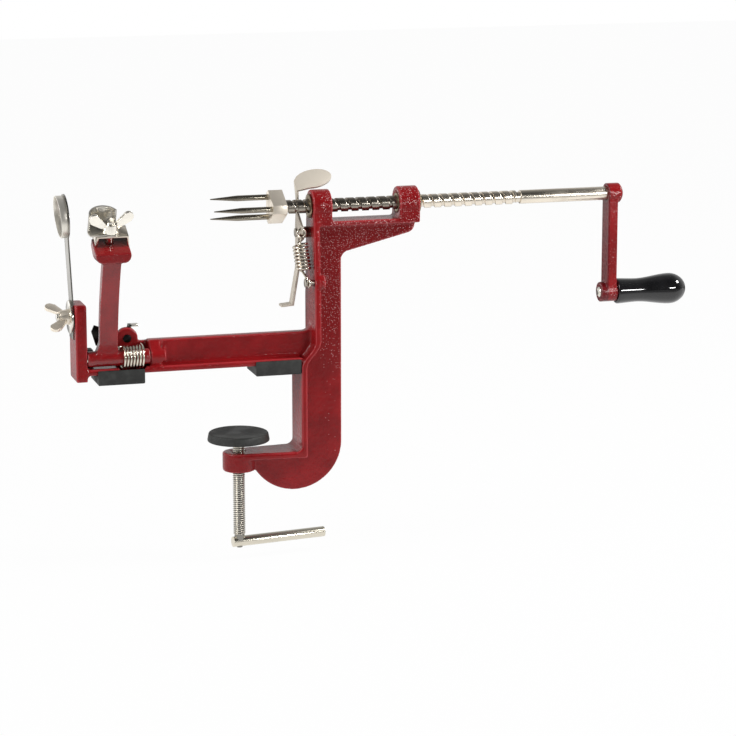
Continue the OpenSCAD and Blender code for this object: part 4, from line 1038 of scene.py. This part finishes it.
class PEELER_OT_peeler(bpy.types.Operator):
    """Dress the peeling head: bracket, loop blade, stud, wing nut and pivot rod"""

    bl_idname = "peeler.peeler_head"
    bl_label = "Peeling head"

    def execute(self, context):
        sizes = context.scene.peeler_sizes
        dress("peeler_bracket", "pressed_peeler_bracket", "peeler", "nickel_steel", "nickel",
              width=sizes.sheet_edge, segments=2)
        dress("peeling_blade", "ground_peeling_blade", "peeler", "blade_steel", "loop",
              width=0.00015, segments=2)
        dress("peeler_wing_nut", "cast_peeler_wing_nut", "peeler", "nickel_steel", "bright",
              width=sizes.nut_edge, from_angle=30.0)
        finish_node("peeler_stud", FINISH["steel"])
        dress("pivot_rod", "turned_pivot_rod", "frame", "bright_steel", "steel", width=0.0005)
        return {"FINISHED"}


class PEELER_OT_latch(bpy.types.Operator):
    """Ease the latch's edges and dress its pin and the arm bumper"""

    bl_idname = "peeler.latch"
    bl_label = "Latch"

    def execute(self, context):
        sizes = context.scene.peeler_sizes
        dress("arm_latch", "pressed_arm_latch", "latch", "bright_steel", "latch",
              width=sizes.sheet_edge, segments=2)
        dress("latch_pin", "riveted_latch_pin", "frame", "bright_steel", "black", width=0.0004)
        dress("arm_bumper", "moulded_arm_bumper", "frame", "black_rubber", "rubber", width=sizes.rubber_edge)
        return {"FINISHED"}


class PEELER_OT_pads(bpy.types.Operator):
    """Round the moulded table pads and the clamp cap"""

    bl_idname = "peeler.pads"
    bl_label = "Rubber pads"

    def execute(self, context):
        edge = context.scene.peeler_sizes.rubber_edge
        for node in ("clamp_side_pad", "far_pad"):
            dress(node, "moulded_" + node, "frame", "black_rubber", "rubber", width=edge)
        dress("clamp_pad", "moulded_clamp_pad", "clamp_head", "black_rubber", "rubber", width=edge * 0.8)
        finish_node("clamp_swivel", FINISH["steel"])
        return {"FINISHED"}


class PEELER_OT_clamp(bpy.types.Operator):
    """Cut the clamp screw's thread and dress the cross bar"""

    bl_idname = "peeler.clamp"
    bl_label = "Clamp screw"

    def execute(self, context):
        sizes = context.scene.peeler_sizes
        depth = 0.8 * MM
        low = BAR_Z * MM
        rise = CLAMP_TOP * MM - low
        overlap = 1.0 * MM
        thread_start = 5.2 * MM
        rivet_drop = 4.3 * MM
        core = lathed_rod("threaded_clamp_screw", CLAMP_R * MM - depth, rise, chamfer=0.2 * MM)
        tip = lathed_rod("clamp_tip", radius=3.0 * MM, height=4.0 * MM, chamfer=0.4 * MM)
        raised(tip, rise - overlap)
        rivet = lathed_rod("clamp_rivet", radius=2.2 * MM, height=3.0 * MM, chamfer=0.5 * MM)
        raised(rivet, -rivet_drop)
        ridge = screw_ridge("clamp_ridge", CLAMP_R * MM, depth, sizes.clamp_pitch,
                            thread_start, rise - overlap)
        joined(core, tip, rivet, ridge)
        placed(core, Matrix.Translation((CLAMP_X * MM, 0, low)))
        smooth_by_angle(core, SHARP_THREAD)
        stand_for(core, "clamp_drive", "bright_steel", FINISH["thread"], "clamp_screw")
        dress("cross_bar", "turned_cross_bar", "clamp_drive", "bright_steel", "bar", width=0.0008)
        return {"FINISHED"}


# Studio
def area_lamp(scene, name, place, target, size, watts, mirrored=True):
    lamp = bpy.data.lights.new(name, "AREA")
    lamp.shape = "RECTANGLE"
    lamp.size, lamp.size_y = size
    lamp.energy = watts
    holder = bpy.data.objects.new(name, lamp)
    scene.collection.objects.link(holder)
    holder.location = place
    aim = Vector(target) - Vector(place)
    holder.rotation_euler = aim.to_track_quat("-Z", "Y").to_euler()
    holder.visible_glossy = mirrored


def floor_white():
    """White to the camera, matt to the lamps, and a fixed pale field to what mirrors it"""
    material = bpy.data.materials.new("studio_floor_white")
    material.use_nodes = True
    tree = material.node_tree
    tree.nodes.clear()
    output = add_node(tree, "ShaderNodeOutputMaterial")
    matt = add_node(tree, "ShaderNodeBsdfDiffuse")
    matt.inputs["Color"].default_value = (FLOOR_GREY, FLOOR_GREY, FLOOR_GREY, 1.0)
    glow = add_node(tree, "ShaderNodeEmission")
    seen = add_node(tree, "ShaderNodeLightPath").outputs["Is Camera Ray"]
    blend = add_node(tree, "ShaderNodeMixShader")
    tree.links.new(math_into(tree, "MULTIPLY", seen, FLOOR_GLOW), blend.inputs[0])
    tree.links.new(matt.outputs[0], blend.inputs[1])
    tree.links.new(glow.outputs[0], blend.inputs[2])
    place = axes_of(tree, add_node(tree, "ShaderNodeTexCoord").outputs["Object"])
    behind = ranged(tree, place["Y"], (0.05, 0.75), RISING)
    leftward = ranged(tree, place["X"], (-0.50, -0.10), (0.35, -0.92))
    front = ranged(tree, place["Y"], (-0.70, -0.25), (0.28, 1.05))
    sheen = add_node(tree, "ShaderNodeEmission")
    tree.links.new(math_into(tree, "MULTIPLY_ADD", behind, leftward, front), sheen.inputs["Strength"])
    mirrored = add_node(tree, "ShaderNodeLightPath").outputs["Is Glossy Ray"]
    surface = add_node(tree, "ShaderNodeMixShader")
    tree.links.new(mirrored, surface.inputs[0])
    tree.links.new(blend.outputs[0], surface.inputs[1])
    tree.links.new(sheen.outputs[0], surface.inputs[2])
    tree.links.new(surface.outputs[0], output.inputs["Surface"])
    return material


def studio_world(scene):
    """White to the camera, and darker in front and overhead to what mirrors it"""
    world = bpy.data.worlds.new("studio_world")
    scene.world = world
    world.use_nodes = True
    tree = world.node_tree
    tree.nodes.clear()
    output = add_node(tree, "ShaderNodeOutputWorld")
    sky = add_node(tree, "ShaderNodeBackground")
    way = axes_of(tree, add_node(tree, "ShaderNodeTexCoord").outputs["Generated"])
    forward = ranged(tree, way["Y"], (-0.60, 0.30), (0.05, 0.60))
    leftward = ranged(tree, way["X"], (-0.95, -0.2), (0.30, 0.0))
    overhead = ranged(tree, way["Z"], (0.50, 0.95), (1.0, 0.30))
    level = math_into(tree, "MULTIPLY", math_into(tree, "ADD", forward, leftward), overhead)
    seen = add_node(tree, "ShaderNodeLightPath").outputs["Is Camera Ray"]
    tree.links.new(math_into(tree, "MAXIMUM", level, seen), sky.inputs["Strength"])
    tree.links.new(sky.outputs[0], output.inputs["Surface"])
    sky.inputs["Color"].default_value = (1.0, 1.0, 1.0, 1.0)


class PEELER_OT_stage(bpy.types.Operator):
    """Set the pale floor, the soft lamps, the backdrop's white and the camera"""

    bl_idname = "peeler.stage"
    bl_label = "Stage"

    def execute(self, context):
        scene = context.scene
        scene.view_settings.view_transform = "Standard"
        low = CAD_BOX[0][2] - FLOOR_ROOM
        bpy.ops.object.select_all(action="DESELECT")
        bpy.ops.mesh.primitive_plane_add(size=FLOOR_SIZE, location=(0.0, 0.0, low))
        floor = bpy.context.object
        floor.name = "studio_floor"
        floor.data.materials.append(floor_white())
        studio_world(scene)
        for values in LAMPS:
            area_lamp(scene, **values)
        camera = bpy.data.cameras.new("photo_camera")
        camera.lens = CAMERA_LENS
        camera.sensor_width = CAMERA_SENSOR
        holder = bpy.data.objects.new("photo_camera", camera)
        scene.collection.objects.link(holder)
        holder.location = CAMERA_PLACE
        holder.rotation_euler = (math.radians(CAMERA_TILT), 0.0, math.radians(-CAMERA_AZIMUTH))
        scene.camera = holder
        return {"FINISHED"}


class PEELER_PT_panel(bpy.types.Panel):
    """Lists the peeler's operators"""

    bl_label = "Apple Peeler"
    bl_idname = "PEELER_PT_panel"
    bl_space_type = "VIEW_3D"
    bl_region_type = "UI"
    bl_category = "Peeler"

    def draw(self, context):
        for step in STEPS:
            self.layout.operator(step.bl_idname)
        for group in (context.scene.peeler_sizes, context.scene.peeler_colours):
            for key in group.__annotations__:
                self.layout.prop(group, key)


STEPS = (
    PEELER_OT_finishes,
    PEELER_OT_castings,
    PEELER_OT_feed,
    PEELER_OT_handle,
    PEELER_OT_lever,
    PEELER_OT_springs,
    PEELER_OT_slicer,
    PEELER_OT_peeler,
    PEELER_OT_latch,
    PEELER_OT_pads,
    PEELER_OT_clamp,
    PEELER_OT_stage,
)
CLASSES = (PeelerSizes, PeelerColours) + STEPS + (PEELER_PT_panel,)


def register():
    for item in CLASSES:
        bpy.utils.register_class(item)
    bpy.types.Scene.peeler_sizes = bpy.props.PointerProperty(type=PeelerSizes)
    bpy.types.Scene.peeler_colours = bpy.props.PointerProperty(type=PeelerColours)


def unregister():
    del bpy.types.Scene.peeler_colours
    del bpy.types.Scene.peeler_sizes
    for item in reversed(CLASSES):
        bpy.utils.unregister_class(item)


def main():
    register()
    bpy.ops.peeler.finishes()
    bpy.ops.peeler.castings()
    bpy.ops.peeler.feed()
    bpy.ops.peeler.handle()
    bpy.ops.peeler.lever()
    bpy.ops.peeler.springs()
    bpy.ops.peeler.slicer()
    bpy.ops.peeler.peeler_head()
    bpy.ops.peeler.latch()
    bpy.ops.peeler.pads()
    bpy.ops.peeler.clamp()
    bpy.ops.peeler.stage()


if __name__ == "__main__":
    main()
